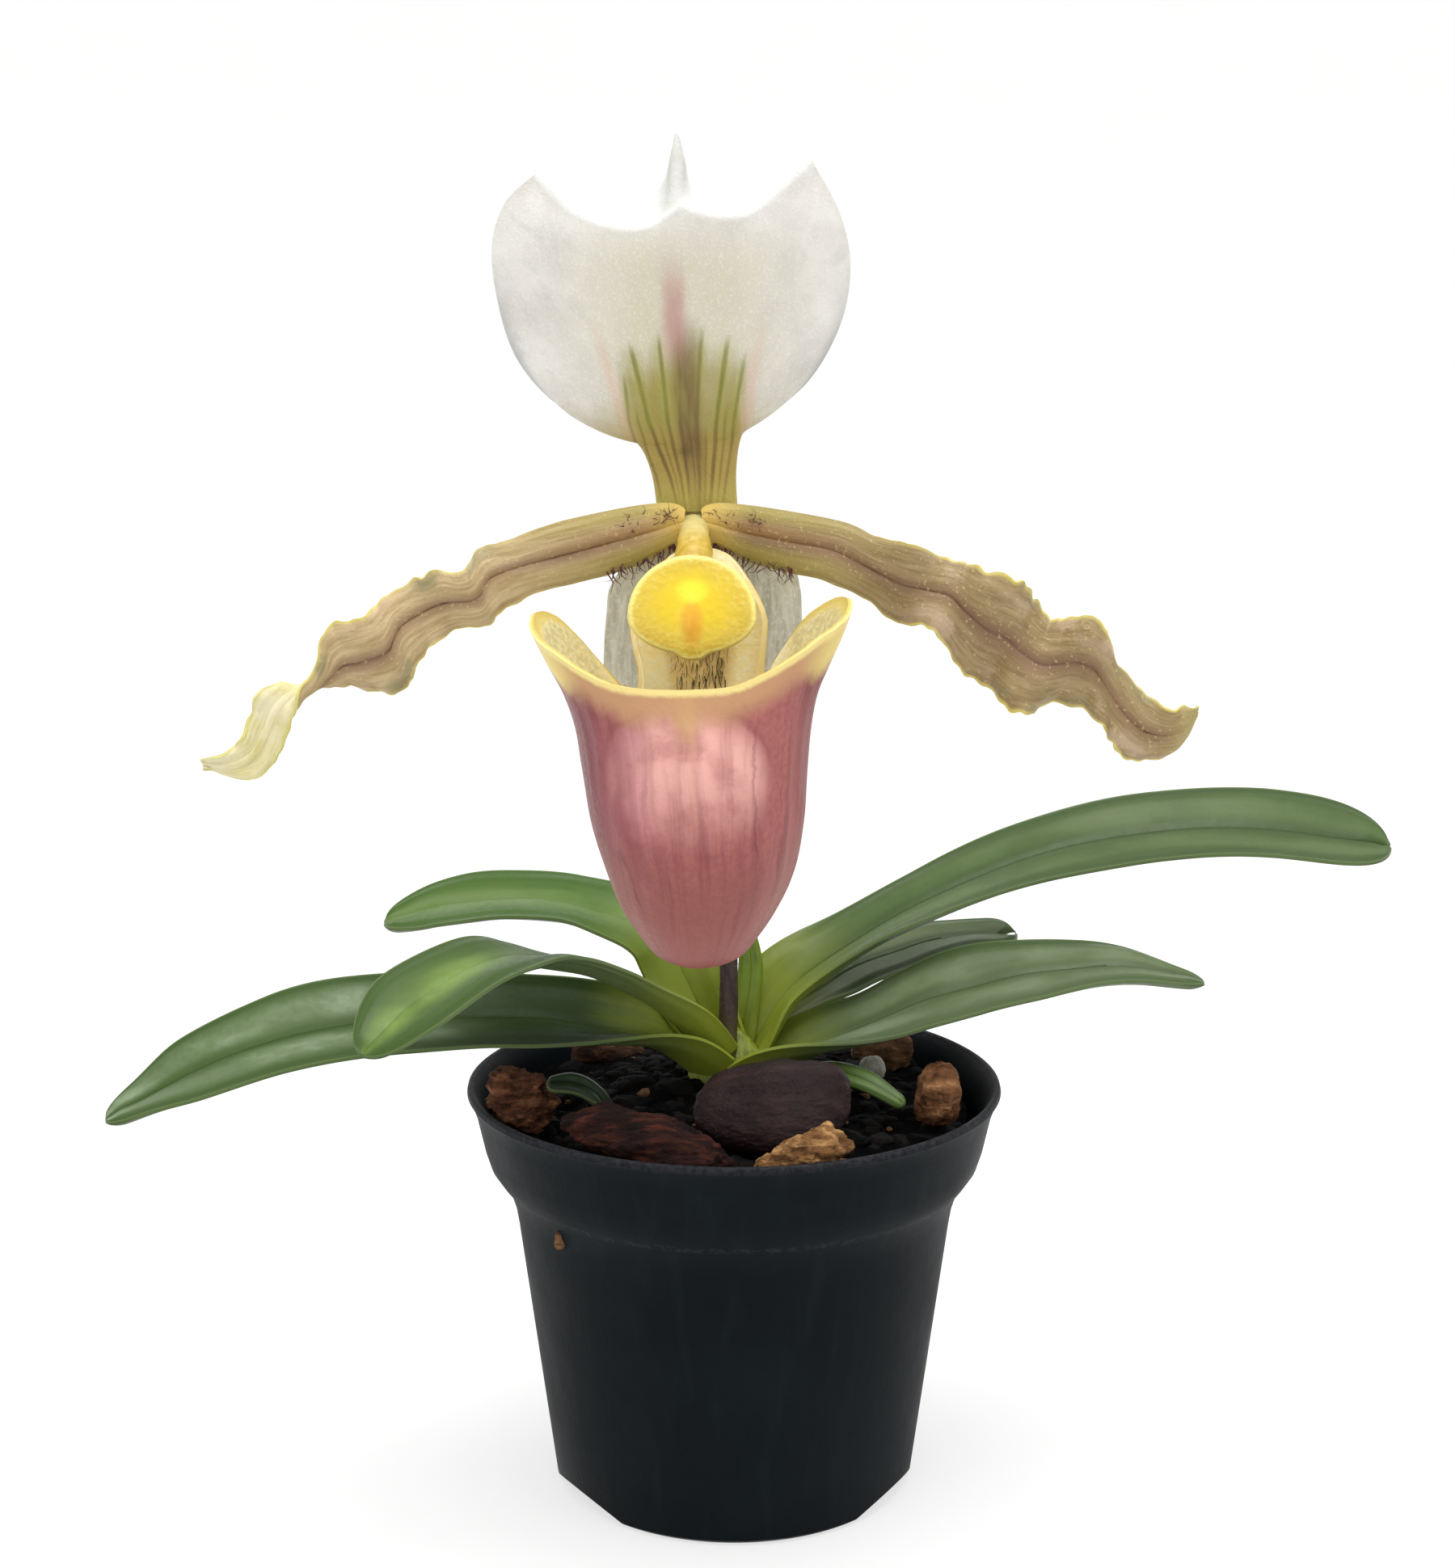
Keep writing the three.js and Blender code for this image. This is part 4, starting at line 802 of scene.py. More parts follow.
# %% Leaf forms
LEAF = {
    "thickness": 1.1, "base_fold": 0.46, "blade_fold": 0.09, "open_from": 0.45, "groove": 0.22, "wave": 0.35,
}
LONG_GRID, SHORT_GRID = (36, 150), (12, 50)
SHORT_SPINE = 6  # a leaf with fewer points is a short one
SHORT_SHARE = 0.8  # its thickness as a share of a long leaf's
LEAVES = {
    "leaf_left_low": {
        "spine": [(-1.9, -0.6, 41.7), (-6, -1.5, 45), (-14.5, -3, 46.9), (-26, -5.5, 48.1), (-39, -9.5, 48),
                  (-50, -12.5, 44.6), (-57.8, -14, 40.6)],
        "width": [7, 9.4, 11.2, 12, 11.8, 10, 7], "roll": [0, 7, 17, 21, 22, 18, 13], "tip": 0.2,
    },
    "leaf_left_mid": {
        "spine": [(-1.9, -1, 43.2), (-4.9, -3.2, 47.5), (-9.6, -6, 51.2), (-15.3, -9.7, 54.4),
                  (-21.5, -13.8, 55.8),
                  (-28, -18.5, 53.5), (-32.8, -23, 49.6)],
        "width": [5, 5.4, 5.2, 7, 10.6, 10.3, 7.5], "roll": [0, -4, -9, -12, 2, 10, 17], "tip": 0.22,
        "groove": 0.06,
    },
    "leaf_left_high": {
        "spine": [(-1.2, 1, 42.6), (-3.6, 2.3, 47.2), (-7.2, 4.6, 53), (-13.5, 6.6, 55.3), (-21, 8, 56),
                  (-28.8, 9, 55), (-34.7, 9, 53.4)],
        "width": [5.4, 6.8, 8.4, 10.3, 11.4, 11, 8.8], "roll": [60, 54, 30, 11, 10, 11, 15], "tip": 0.26,
        "groove": 0.1,
    },
    "leaf_right_high": {
        "spine": [(1, 0.8, 42.6), (4.4, 2.2, 48.2), (11.5, 4, 53), (23, 5.5, 58.6), (37, 7, 62.5),
                  (52, 7, 63.4),
                  (64.3, 7, 61.7)],
        "width": [6, 8, 9.6, 10.8, 11.4, 11.6, 10.6], "roll": [30, 18, 8, 13, 21, 22, 24], "tip": 0.13,
    },
    "leaf_right_low": {
        "spine": [(1.2, -1.2, 41.2), (5.6, -2.3, 44), (12, -3, 46.3), (20, -4.2, 49.8), (28.5, -5.3, 52.2),
                  (36.5, -6, 52.8), (44.2, -6, 51.4)],
        "width": [6, 7.6, 9.4, 11.2, 10.2, 7, 2.6], "roll": [0, 5, 14, 22, 18, 12, 11], "tip": 0.1,
    },
    "leaf_right_back": {
        "spine": [(1.2, 2.2, 41.6), (4.6, 5, 45.1), (10.5, 8, 48.1), (17.5, 10.3, 50.3), (23.5, 11.6, 51.3),
                  (28.4, 12.6, 51.4)],
        "width": [4.4, 6.2, 8, 8.2, 7, 5], "roll": [4, 12, 13, 10, 9, 15], "tip": 0.12, "notch": 0.07,
    },
    "sheath_right": {
        "across": (1, 0.15, 0),
        "spine": [(0.4, 1.5, 42.8), (1.1, 1.9, 46.4), (1.6, 2.3, 50.4), (1.3, 2.1, 55.4)],
        "width": [2.6, 2.6, 2.4, 1.6], "roll": [0, 0, 0, 0], "tip": 0.3,
    },
    "leaf_stub_left": {
        "spine": [(-11.4, -8.0, 38.0), (-13.0, -8.3, 41.0), (-15.0, -8.7, 42.3), (-17.5, -9.2, 42.4)],
        "width": [2.0, 2.6, 2.6, 1.8], "roll": [22, 28, 30, 30], "tip": 0.1,
    },
    "leaf_stub_right": {
        "spine": [(1.8, -1.2, 39.2), (4.6, -3.2, 40.9), (8.4, -5.4, 42.5), (12.2, -8.6, 42.6),
                  (15.8, -10.8, 41.0)],
        "width": [2.2, 2.4, 2.6, 2.4, 1.4], "roll": [20, 22, 26, 28, 28], "tip": 0.05,
    },
}


def leaf_surface(form, seed):
    """Where each point of a leaf lies, in mm."""
    curve = Curve(form["spine"])

    @lru_cache(maxsize=None)
    def section(t):
        along = curve.direction(t)
        level = np.array(form["across"], float) if "across" in form else np.cross((0, 0, 1), along)
        level /= np.linalg.norm(level)
        if level[1] < 0:
            level = -level
        upward = np.cross(along, level)
        if upward[2] < 0 or "across" in form:
            upward = -upward
        tilt = math.radians(through(form["roll"], t))
        across = level * math.cos(tilt) + upward * math.sin(tilt)
        normal = upward * math.cos(tilt) - level * math.sin(tilt)
        into_tip = min(max((t - 1 + form["tip"]) / form["tip"], 0), 0.999)
        half = through(form["width"], t) * math.sqrt(1 - into_tip**3) / 2
        fold = blend(LEAF["base_fold"], LEAF["blade_fold"], smooth(t, 0, LEAF["open_from"]))
        return curve.at(t), across, normal, half, fold

    def surface(s, v):
        k = 2 * s - 1
        t = (1 - (1 - v) ** 1.3) * (1 - form.get("notch", 0) * bell(k, -0.1, 0.3) * smooth(v, 0.7, 1))
        middle, across, normal, half, fold = section(t)
        height = fold * 2 * half * (abs(k) ** 1.7 - 0.4)
        height -= form.get("groove", LEAF["groove"]) * bell(k, 0, 0.09) * smooth(half, 0.8, 2.5)
        wave = noise.noise(Vector((k * 1.1, t * 7, seed * 9.1)))
        height += LEAF["wave"] * wave * smooth(t, 0.1, 0.4) * smooth(half, 1, 4)
        return middle + across * (k * half) + normal * height

    return surface


LEAF_FOOT = srgb(128, 138, 44)
leaf_finishes = {
    "leaf_left_low": leaf_green("leaf_green_low", srgb(46, 66, 30), srgb(82, 102, 56), LEAF_FOOT, 0.28,
                                srgb(140, 154, 130), 0.46, shine=0.07, shade=srgb(10, 27, 2)),
    "leaf_left_mid": leaf_green("leaf_green_arched", srgb(40, 62, 20), srgb(84, 110, 46), LEAF_FOOT, 0.4,
                                srgb(120, 144, 70), 0.56, rib=0.1),
    "leaf_left_high": leaf_green("leaf_green_young", srgb(34, 64, 10), srgb(82, 112, 34), LEAF_FOOT, 0.46,
                                 rib=0.15),
    "leaf_right_high": leaf_green("leaf_green_long", srgb(48, 67, 30), srgb(70, 91, 43), LEAF_FOOT, 0.3,
                                  srgb(80, 98, 56)),
    "leaf_right_low": leaf_green("leaf_green_right", srgb(52, 70, 38), srgb(88, 104, 66), LEAF_FOOT, 0.26,
                                 srgb(104, 116, 88)),
    "leaf_right_back": leaf_green("leaf_green_back", srgb(46, 62, 32), srgb(84, 100, 60), LEAF_FOOT, 0.36,
                                  srgb(94, 108, 72)),
    "leaf_stub_right": leaf_green("leaf_green_short", srgb(50, 72, 28), srgb(78, 102, 46), LEAF_FOOT, 0.1),
    "sheath_right": leaf_green("leaf_green_sheath", srgb(92, 118, 26), srgb(130, 150, 44), LEAF_FOOT, 0.6),
}
# The left stub gets a much darker green than the other leaves.
stub_green = leaf_green("leaf_green_stub", srgb(12, 24, 10), srgb(26, 42, 20), srgb(30, 42, 18), 0.3,
                       srgb(38, 56, 34))

for seed, (node, form) in enumerate(LEAVES.items()):
    short = len(form["spine"]) < SHORT_SPINE
    piece = grid(node + "_blade", *(SHORT_GRID if short else LONG_GRID), leaf_surface(form, seed))
    thickness = LEAF["thickness"] * (SHORT_SHARE if short else 1.0)
    faces_up = "across" in form or form["spine"][-1][0] < form["spine"][0][0]
    thicken(piece, thickness, margin=0.3, rim=0.16, front=faces_up)
    finish(piece, leaf_finishes.get(node, stub_green), "leaf_green", node)
print("leaves:", len(LEAVES))

# %% [markdown]
# The crown is the short stem that the leaves spring from. Only its yellow-green side shows between the
# leaf feet. It is a sleeve of uneven rings, closed at both ends, and the five roots that go down into
# the mix are thin stems of their own, joined to it.

# %% Crown and roots
CROWN_X = -0.5
CROWN = [  # height, half-width in X, half-depth in Y
    (33.4, 0.6, 0.6), (34.4, 2.0, 1.8), (36.4, 2.7, 2.5), (38.6, 3.4, 3.0), (40.6, 3.9, 3.2),
    (42.4, 3.5, 2.6), (44.0, 2.3, 1.8), (45.0, 1.3, 1.2), (45.4, 0.5, 0.5),
]
ROOTS = [
    [(-1, -0.6, 36), (-5, -4, 31), (-9, -7, 23), (-10.5, -8, 13)],
    [(1, -0.6, 36), (5.5, -5, 30), (9, -6, 21), (11, -7, 10)],
    [(-1, 0.8, 36), (-6, 5, 30), (-10, 8, 20), (-8, 11, 9)],
    [(1.2, 0.8, 36), (6, 5, 31), (9.5, 10, 22), (9, 11, 12)],
    [(0, 0, 35), (0.6, -0.6, 27), (-1, 0.6, 17), (0.5, 0, 7)],
]
ROOT_RADII = [1.2, 1.15, 1.0, 0.55]


def crown_surface(s, v):
    z, wide, deep = (through([ring[k] for ring in CROWN], v) for k in range(3))
    angle = 2 * math.pi * (s % 1.0)
    if v in (0.0, 1.0):
        return CROWN_X, 0, z
    folds = 1 + 0.06 * math.cos(5 * angle + z * 0.2) + 0.05 * noise.noise(Vector((s * 9, z * 0.2, 1)))
    return CROWN_X + wide * folds * math.cos(angle), deep * folds * math.sin(angle), z


crown_paint = Paint("crown_green", roughness=0.45, subsurface_weight=0.1,
                    subsurface_radius=(0.001, 0.001, 0.0004))
long_lines = crown_paint.noise(crown_paint.place(scale=(1.6, 1.6, 0.2)), detail=3)
_, _, z = crown_paint.parts(crown_paint.place())
crown_paint.colour = crown_paint.mix(long_lines.fade(0.35, 0.65), srgb(100, 112, 30), srgb(136, 146, 52))
crown_paint.cover((z + long_lines * 2).fade(40.8, 38.6), srgb(70, 66, 26))
crown_paint.set("Base Color", crown_paint.colour)
crown_paint.bump(long_lines, 0.15)
crown = sleeve("crown_stem", 40, 44, crown_surface)
roots = [stem(f"root_{i}", points, ROOT_RADII, 14, 50, rough=0.12) for i, points in enumerate(ROOTS)]
pick(crown, *roots)
bpy.ops.object.join()
finish(crown, crown_paint.material, "crown_green", "crown")
print("crown with", len(roots), "roots")

# %% [markdown]
# The flower stem is thin, dark purple-brown and downy. The ovary above it has six ribs, and a green
# bract wraps its foot. All three are sleeves or blades along a curve.

# %% Stem, ovary and bract
SCAPE = [(-0.6, -1.9, 40.9), (-0.6, -1.6, 44), (-0.5, -1.0, 52), (-0.5, -1.3, 62), (-1.1, -2.4, 72),
         (-2.04, -4.38, 81.95)]
OVARY = [(-2.06, -4.5, 82.1), (-2.3, -7.0, 86.2), (-2.7, -11.5, 90.6), (-3.1, -17, 94.0), (-3.4, -22.5, 96.4),
         (-3.45, -27.7, 97.1)]
SCAPE_RADII = [1.0, 0.88, 0.86, 1.0]
OVARY_RADII = [0.95, 1.1, 1.3, 1.45, 1.4, 1.9]

skin = Paint("scape_skin", roughness=0.6)
spots = skin.noise(skin.place(scale=(1.5, 1.5, 0.5)), detail=4)
_, _, z = skin.parts(skin.place())
skin.colour = skin.mix(spots.fade(0.35, 0.7), srgb(30, 18, 18), srgb(62, 44, 38))
skin.cover((z + spots * 4).fade(51, 44), srgb(80, 70, 20))
skin.set("Base Color", skin.colour)
skin.bump(spots, 0.12)
scape = stem("scape_stem", SCAPE, SCAPE_RADII, 20, 150, rough=0.07)
finish(scape, skin.material, "scape_skin", "scape")

ovary_paint = Paint("ovary_skin", roughness=0.6)
spots = ovary_paint.noise(ovary_paint.place(), scale=0.9, detail=4)
_, y, _ = ovary_paint.parts(ovary_paint.place())
ovary_paint.colour = ovary_paint.mix(spots.fade(0.35, 0.7), srgb(92, 84, 42), srgb(122, 96, 62))
ovary_paint.cover(y.fade(-20, -27, 0, 0.8), srgb(168, 160, 84))
ovary_paint.set("Base Color", ovary_paint.colour)
ovary_paint.bump(spots, 0.15)
ovary = stem("ovary_ribbed", OVARY, OVARY_RADII, 36, 110, ribs=0.06, rough=0.03)
finish(ovary, ovary_paint.material, "ovary_skin", "ovary")

BRACT = {"from": 0.02, "to": 0.52, "thickness": 0.6, "foot_reach": 125, "tip_reach": 14}  # reach in degrees


def bract_surface():
    curve = Curve(OVARY)

    @lru_cache(maxsize=None)
    def section(v):
        t = blend(BRACT["from"], BRACT["to"], v)
        _, across, up = curve.axes(t)
        out = -up if up[2] > 0 or up[1] > 0 else up
        reach = blend(BRACT["foot_reach"], BRACT["tip_reach"], smooth(v, 0.25, 1.0))
        radius = through(OVARY_RADII, t) + 0.75 + 0.7 * smooth(v, 0.1, 0.8)
        return curve.at(t), across, out, reach, radius

    def surface(s, v):
        middle, across, out, reach, radius = section(v)
        angle = math.radians(reach * (2 * s - 1))
        return middle + across * (radius * math.sin(angle)) + out * (radius * math.cos(angle))

    return surface


bract_green = leaf_green("bract_green", srgb(88, 104, 44), srgb(132, 142, 78), srgb(104, 84, 50), 0.2)
bract = thicken(grid("bract_blade", 24, 60, bract_surface()), BRACT["thickness"], margin=0.4)
finish(bract, bract_green, "bract_green", "floral_bract")

# %% [markdown]
# The dorsal sepal is the white banner of the flower: a round blade on a narrow claw. Its upper margin is
# bent back along a crease, with a small spike in the middle. The blade is a patch between four border
# curves, and the bent margin follows as more rows of the same grid. A second UV map fans out from the
# claw, because the veins do, and the paint draws the green fan, its veins and the plum stripe on it.

# %% Dorsal sepal form
DORSAL = {
    "claw": [(-6.4, 0, 98.3), (-3.2, 0, 98.05), (0.1, 0, 98.3)],
    "left": [(-6.4, 0, 98.3), (-6.75, 0, 100.8), (-7.5, 0, 102.9), (-8.7, 0, 104.5), (-11.7, 0, 105.2),
             (-14.9, 0, 106.9), (-18.0, 0, 110.6), (-19.5, 0, 116), (-19.6, 0, 120), (-18.4, 0, 123),
             (-16.1, 0, 125.1)],
    "right": [(0.1, 0, 98.3), (0, 0, 101.2), (0.3, 0, 103.6), (0.8, 0, 104.9), (2.1, 0, 105.5),
              (5.9, 0, 108.5),
              (8.6, 0, 113.3), (9.3, 0, 118), (8.4, 0, 122), (6.1, 0, 126.2)],
    "crease": [(-16.1, 0, 125.1), (-13.6, 0, 122.4), (-11.0, 0, 121.1), (-8.1, 0, 120.6), (-6.3, 0, 121.0),
               (-5.0, 0, 121.9), (-4.2, 0, 122.4), (-3.3, 0, 122.1), (-1.2, 0, 121.7), (0.9, 0, 121.9),
               (2.9, 0, 123.1), (4.6, 0, 124.7), (6.1, 0, 126.2)],
    "rise": [0, 1.6, 2.1, 2.4, 3.4, 6.3, 4.5, 2.5, 1.9, 2.0, 1.8, 1.0, 0],
    "depth": -28.75, "bend_back": 3.6, "thickness": 0.7, "smoothed": (114, 110),
}
BODY_SHARE = 0.84  # of the grid's rows; the rest is the bent margin
SPIKE = 0.44  # where the spike stands, as a share of the way from left to right
FAN = [  # height, middle and half-width of the fan of veins
    (98.0, -3.15, 3.2), (100.9, -3.4, 3.5), (102.9, -3.7, 3.9), (105.5, -4.1, 4.3), (109.0, -4.27, 4.5),
    (111.5, -4.4, 4.6), (124.0, -4.6, 5.4),
]
borders = {side: Curve(DORSAL[side]) for side in ("claw", "left", "right", "crease")}


@lru_cache(maxsize=None)
def border(side, share):
    curve = borders[side]
    return curve.at_length(share) if side in ("left", "right") else curve.at(share)


def dorsal_patch(s, t):
    corners = [border("claw", 0.0), border("claw", 1.0), border("crease", 0.0), border("crease", 1.0)]
    shares = [(1 - s) * (1 - t), s * (1 - t), (1 - s) * t, s * t]
    point = (1 - t) * border("claw", s) + t * border("crease", s)
    point = point + (1 - s) * border("left", t) + s * border("right", t)
    for share, corner in zip(shares, corners):
        point = point - share * corner
    return point


def dorsal_depth(s, t):
    belly = -0.9 * smooth(t, 0.1, 0.5) - 0.6 * smooth(t, 0.5, 1)
    curl = blend(1.5, 3.4, smooth(t, 0.12, 0.35)) * blend(1, 0.45, smooth(t, 0.5, 1))
    ripple = 0.16 * noise.noise(Vector((s * 9, t * 4, 2.0))) * smooth(t, 0.3, 0.5)
    return DORSAL["depth"] + belly + curl * abs(2 * s - 1) ** 2.4 + ripple


def dorsal_surface(s, v):
    if v <= BODY_SHARE:
        t = v / BODY_SHARE
        point = dorsal_patch(s, t)
        return point + np.array([0, dorsal_depth(s, t), 0])
    k = (v - BODY_SHARE) / (1 - BODY_SHARE)
    spike = bell(s, SPIKE, 0.1)
    ends = 1 - abs(2 * s - 1) ** 6
    back = max(DORSAL["bend_back"] * (1 - 0.45 * spike) * ends, 0.5) * k
    rise = max(through(DORSAL["rise"], s), 0.35) * (0.45 * k + 0.55 * k * k)
    inward = 0.6 * (bell(s, 0.36, 0.06) - bell(s, 0.57, 0.06)) * k
    return dorsal_patch(s, 1.0) + np.array([inward, dorsal_depth(s, 1.0) + back, rise])


dorsal = grid("dorsal_banner", 90, 120, dorsal_surface)
# Inside its border, the blade is smoothed below these heights.
lower = dorsal.vertex_groups.new(name="lower")
for loop in dorsal.data.loops:
    u, v = dorsal.data.uv_layers[0].data[loop.index].uv
    inside = 0.001 < u < 0.999 and v > 0.001
    height = dorsal.data.vertices[loop.vertex_index].co.z / MM
    lower.add([loop.vertex_index], smooth(height, *DORSAL["smoothed"]) if inside else 0.0, "REPLACE")
apply_modifier(dorsal, "SMOOTH", factor=0.5, iterations=40, vertex_group="lower")
dorsal.vertex_groups.clear()
fan = dorsal.data.uv_layers.new(name="fan")
heights = [row[0] for row in FAN]
for loop in dorsal.data.loops:
    x, _, z = dorsal.data.vertices[loop.vertex_index].co / MM
    middle, half = (np.interp(z, heights, [row[k] for row in FAN]) for k in (1, 2))
    fan.data[loop.index].uv = ((x - middle) / half, z)
thicken(dorsal, DORSAL["thickness"], margin=0.35, rim=0.05)

# %% Dorsal sepal finish
white = Paint("dorsal_white", roughness=0.6, subsurface_weight=0.2, subsurface_radius=(0.001, 0.001, 0.0008))
here = white.place()
u, v = white.uv()
f, z = white.uv("fan")
soft = white.noise(here, scale=0.2, detail=5, roughness=0.6)
fibre = white.noise(white.vector(f * 7, z * 0.22), detail=4, roughness=0.65)
folds = white.noise(white.place(scale=(0.5, 0.5, 0.14), turn=(0, -52, 0)), scale=0.8, detail=3)
sparkle = white.noise(here, scale=4.5, detail=3)
x, _, height = white.parts(here)
turn = (height - 103.0).math("ARCTAN2", x + 4.0)
reach = ((x + 4.0) ** 2 + (height - 103.0) ** 2) ** 0.5
wrinkle = white.noise(white.vector(turn * 8, reach * 0.22), detail=5, roughness=0.6)
away = abs(f)
white.colour = white.mix(soft.fade(0.3, 0.7), srgb(206, 202, 194), srgb(222, 219, 213))
cream = away.fade(2.6, 0.3) * z.fade(123, 117)
white.cover(cream * soft.fade(0.2, 0.65, 0.4, 0.95), srgb(196, 190, 164))
# Painted shade: grey along the folds and the wrinkles.
white.cover(folds.fade(0.5, 0.72, 0, 0.3), srgb(192, 190, 186))
white.cover(wrinkle.fade(0.5, 0.68, 0, 0.4) * away.fade(1.2, 2.2), srgb(184, 182, 179))
white.cover(sparkle.fade(0.5, 0.7, 0, 0.25), srgb(236, 234, 229))
# Painted shade: grey along the lower margins.
margin = (0.5 - abs(u - 0.5)).fade(0.06, 0.0) * z.fade(119, 110) * z.fade(104, 106)
white.cover(margin * 0.6, srgb(150, 150, 154))
bent = v.fade(BODY_SHARE - 0.02, BODY_SHARE + 0.012)
white.cover(bent, srgb(214, 214, 210))
# Painted shade: faint grey along the crease, and grey on the spike and along its sides.
crease = abs(v - BODY_SHARE + 0.006).fade(0.012, 0.002) * u.fade(0.5, SPIKE)
white.cover(crease * 0.25, srgb(186, 184, 178))
spike = abs(u - SPIKE).fade(0.11, 0.05) * v.fade(BODY_SHARE, BODY_SHARE + 0.04)
sides = abs(abs(u - SPIKE) - 0.045).fade(0.03, 0.0) * v.fade(BODY_SHARE + 0.01, 0.97)
white.cover(spike * soft.fade(0.3, 0.6, 0.3, 0.7), srgb(200, 198, 190))
white.cover(sides * 0.45, srgb(172, 170, 162))
wobble = (fibre - 0.5) * 0.2
uneven = (soft - 0.5) * 5 + (fibre - 0.5) * 3
green = (away + wobble * 1.6).fade(1.32, 0.9) * (z + away * 1.3 + uneven).fade(113.6, 108.6)
white.cover(green * soft.fade(0.25, 0.6, 0.75, 0.95), srgb(144, 132, 54))
white.cover((z + uneven * 0.5).fade(107.5, 102.5), srgb(164, 142, 66))
white.cover((z + uneven * 0.3).fade(101.8, 98.6, 0, 0.85), srgb(176, 162, 74))
vein_colour = white.mix(z.fade(103, 107), srgb(104, 78, 30), srgb(112, 108, 26))
VEINS = [  # place across the fan 108 mm up, lean, height of its upper end, width, strength
    (-1.04, 0.0, 109.6, 0.035, 0.8), (-0.76, -0.034, 112.0, 0.045, 1.0), (-0.34, -0.008, 112.9, 0.04, 0.9),
    (-0.07, 0.008, 113.5, 0.035, 0.9), (0.1, 0.01, 112.0, 0.025, 0.5), (0.27, 0.02, 113.2, 0.04, 0.9),
    (0.67, 0.036, 112.6, 0.045, 1.0), (1.0, 0.04, 111.2, 0.035, 0.8), (-0.9, -0.012, 107.0, 0.03, 0.7),
    (-0.54, -0.02, 105.6, 0.03, 0.6), (0.46, 0.028, 105.4, 0.03, 0.6), (0.83, 0.036, 107.2, 0.03, 0.6),
]
for line, lean, top, width, strength in VEINS:
    off = abs(f + wobble * 0.12 - (z - 108) * lean - line)
    level = z + uneven * 0.12
    halo = off.fade(0.17, 0.0) * level.fade(top + 0.3, top - 2.4) * z.fade(103, 107)
    white.cover(halo * strength * 0.5, srgb(156, 156, 66))
    vein = off.fade(width * 1.5, width * 0.3) * level.fade(top + 0.3, top - 1.8)
    vein = vein * fibre.fade(0.3, 0.6, 0.65, 1.0) * z.fade(98.2, 101.5, 0.3, 1.0)
    white.cover(vein * strength * 0.85, vein_colour)
level = z + uneven * 0.3
brown = abs(f - 0.06 + wobble * 0.4).fade(0.34, 0.1) * level.fade(114.6, 111.0)
brown = brown * z.fade(99.6, 104.0, 0.3, 1.0)
white.cover(brown * fibre.fade(0.25, 0.65, 0.45, 0.85), srgb(108, 82, 42))
plum = abs(f + 0.1 + wobble * 0.4).fade(0.3, 0.06) * level.fade(120.0, 114.5) * z.fade(109.0, 113.0)
white.cover(plum * soft.fade(0.2, 0.6, 0.45, 0.85), srgb(180, 140, 132))
for line, lean in ((-1.16, -0.07), (1.14, 0.06)):
    blush = abs(f - line - (z - 106) * lean * 0.6 + wobble).fade(0.2, 0.02)
    blush = blush * z.fade(115.5, 109.0) * z.fade(103.0, 106.0)
    white.cover(blush * 0.4, srgb(206, 168, 144))
white.set("Base Color", white.colour)
white.bump(fibre * 0.4 + sparkle * 0.5 + folds * 0.5 + wrinkle * 1.6, 0.14)
finish(dorsal, white.material, "dorsal_white", "dorsal_sepal")
print("dorsal sepal:", len(VEINS), "veins")

# %% [markdown]
# Two lower sepals are joined as one blade behind the pouch. It is grey-green and finely lined.

# %% Synsepal
SYNSEPAL_THICKNESS = 0.7
SYNSEPAL = [  # height, left and right margin
    (95.8, -6.0, 1.2), (93.6, -9.0, 4.6), (91.6, -10.4, 5.4), (89.4, -10.7, 5.55), (87.0, -10.9, 5.5),
    (84.0, -10.9, 5.3), (81.0, -10.0, 4.4), (78.0, -8.4, 2.9), (75.4, -6.3, 0.9), (73.4, -4.3, -1.5),
]


def synsepal_surface(s, t):
    z, left, right = (through([row[k] for row in SYNSEPAL], t) for k in range(3))
    hollow = -0.9 * (2 * s - 1) ** 2 * smooth(t, 0.1, 0.4)
    lean = -28.6 + 1.6 * smooth(t, 0, 0.35) - 0.9 * smooth(t, 0.6, 1)
    keel = 0.25 * bell(2 * s - 1, 0, 0.06)
    return blend(left, right, s), lean + hollow + keel, z


synsepal = thicken(grid("synsepal_blade", 50, 70, synsepal_surface), SYNSEPAL_THICKNESS, margin=0.35)
grey = Paint("synsepal_grey", roughness=0.65)
u, v = grey.uv()
lines = grey.noise(grey.vector(u * 26, v * 5.0), detail=4, roughness=0.65)
grain = grey.noise(grey.place(), scale=3.0, detail=3)
grey.colour = grey.mix(lines.fade(0.35, 0.65), srgb(180, 178, 160), srgb(214, 210, 192))
grey.cover(grain.fade(0.5, 0.7, 0, 0.6), srgb(222, 221, 212))
grey.cover(v.fade(0.16, 0.0), srgb(160, 156, 100))
grey.set("Base Color", grey.colour)
grey.bump(lines + grain * 0.5, 0.12)
finish(synsepal, grey.material, "synsepal_grey", "synsepal")

# %% [markdown]
# The petals are narrow ribbons with wavy margins, and the left one turns over near its tip. Each has
# stations along it with the place of its upper and lower margin and how far the ribbon is rolled there.

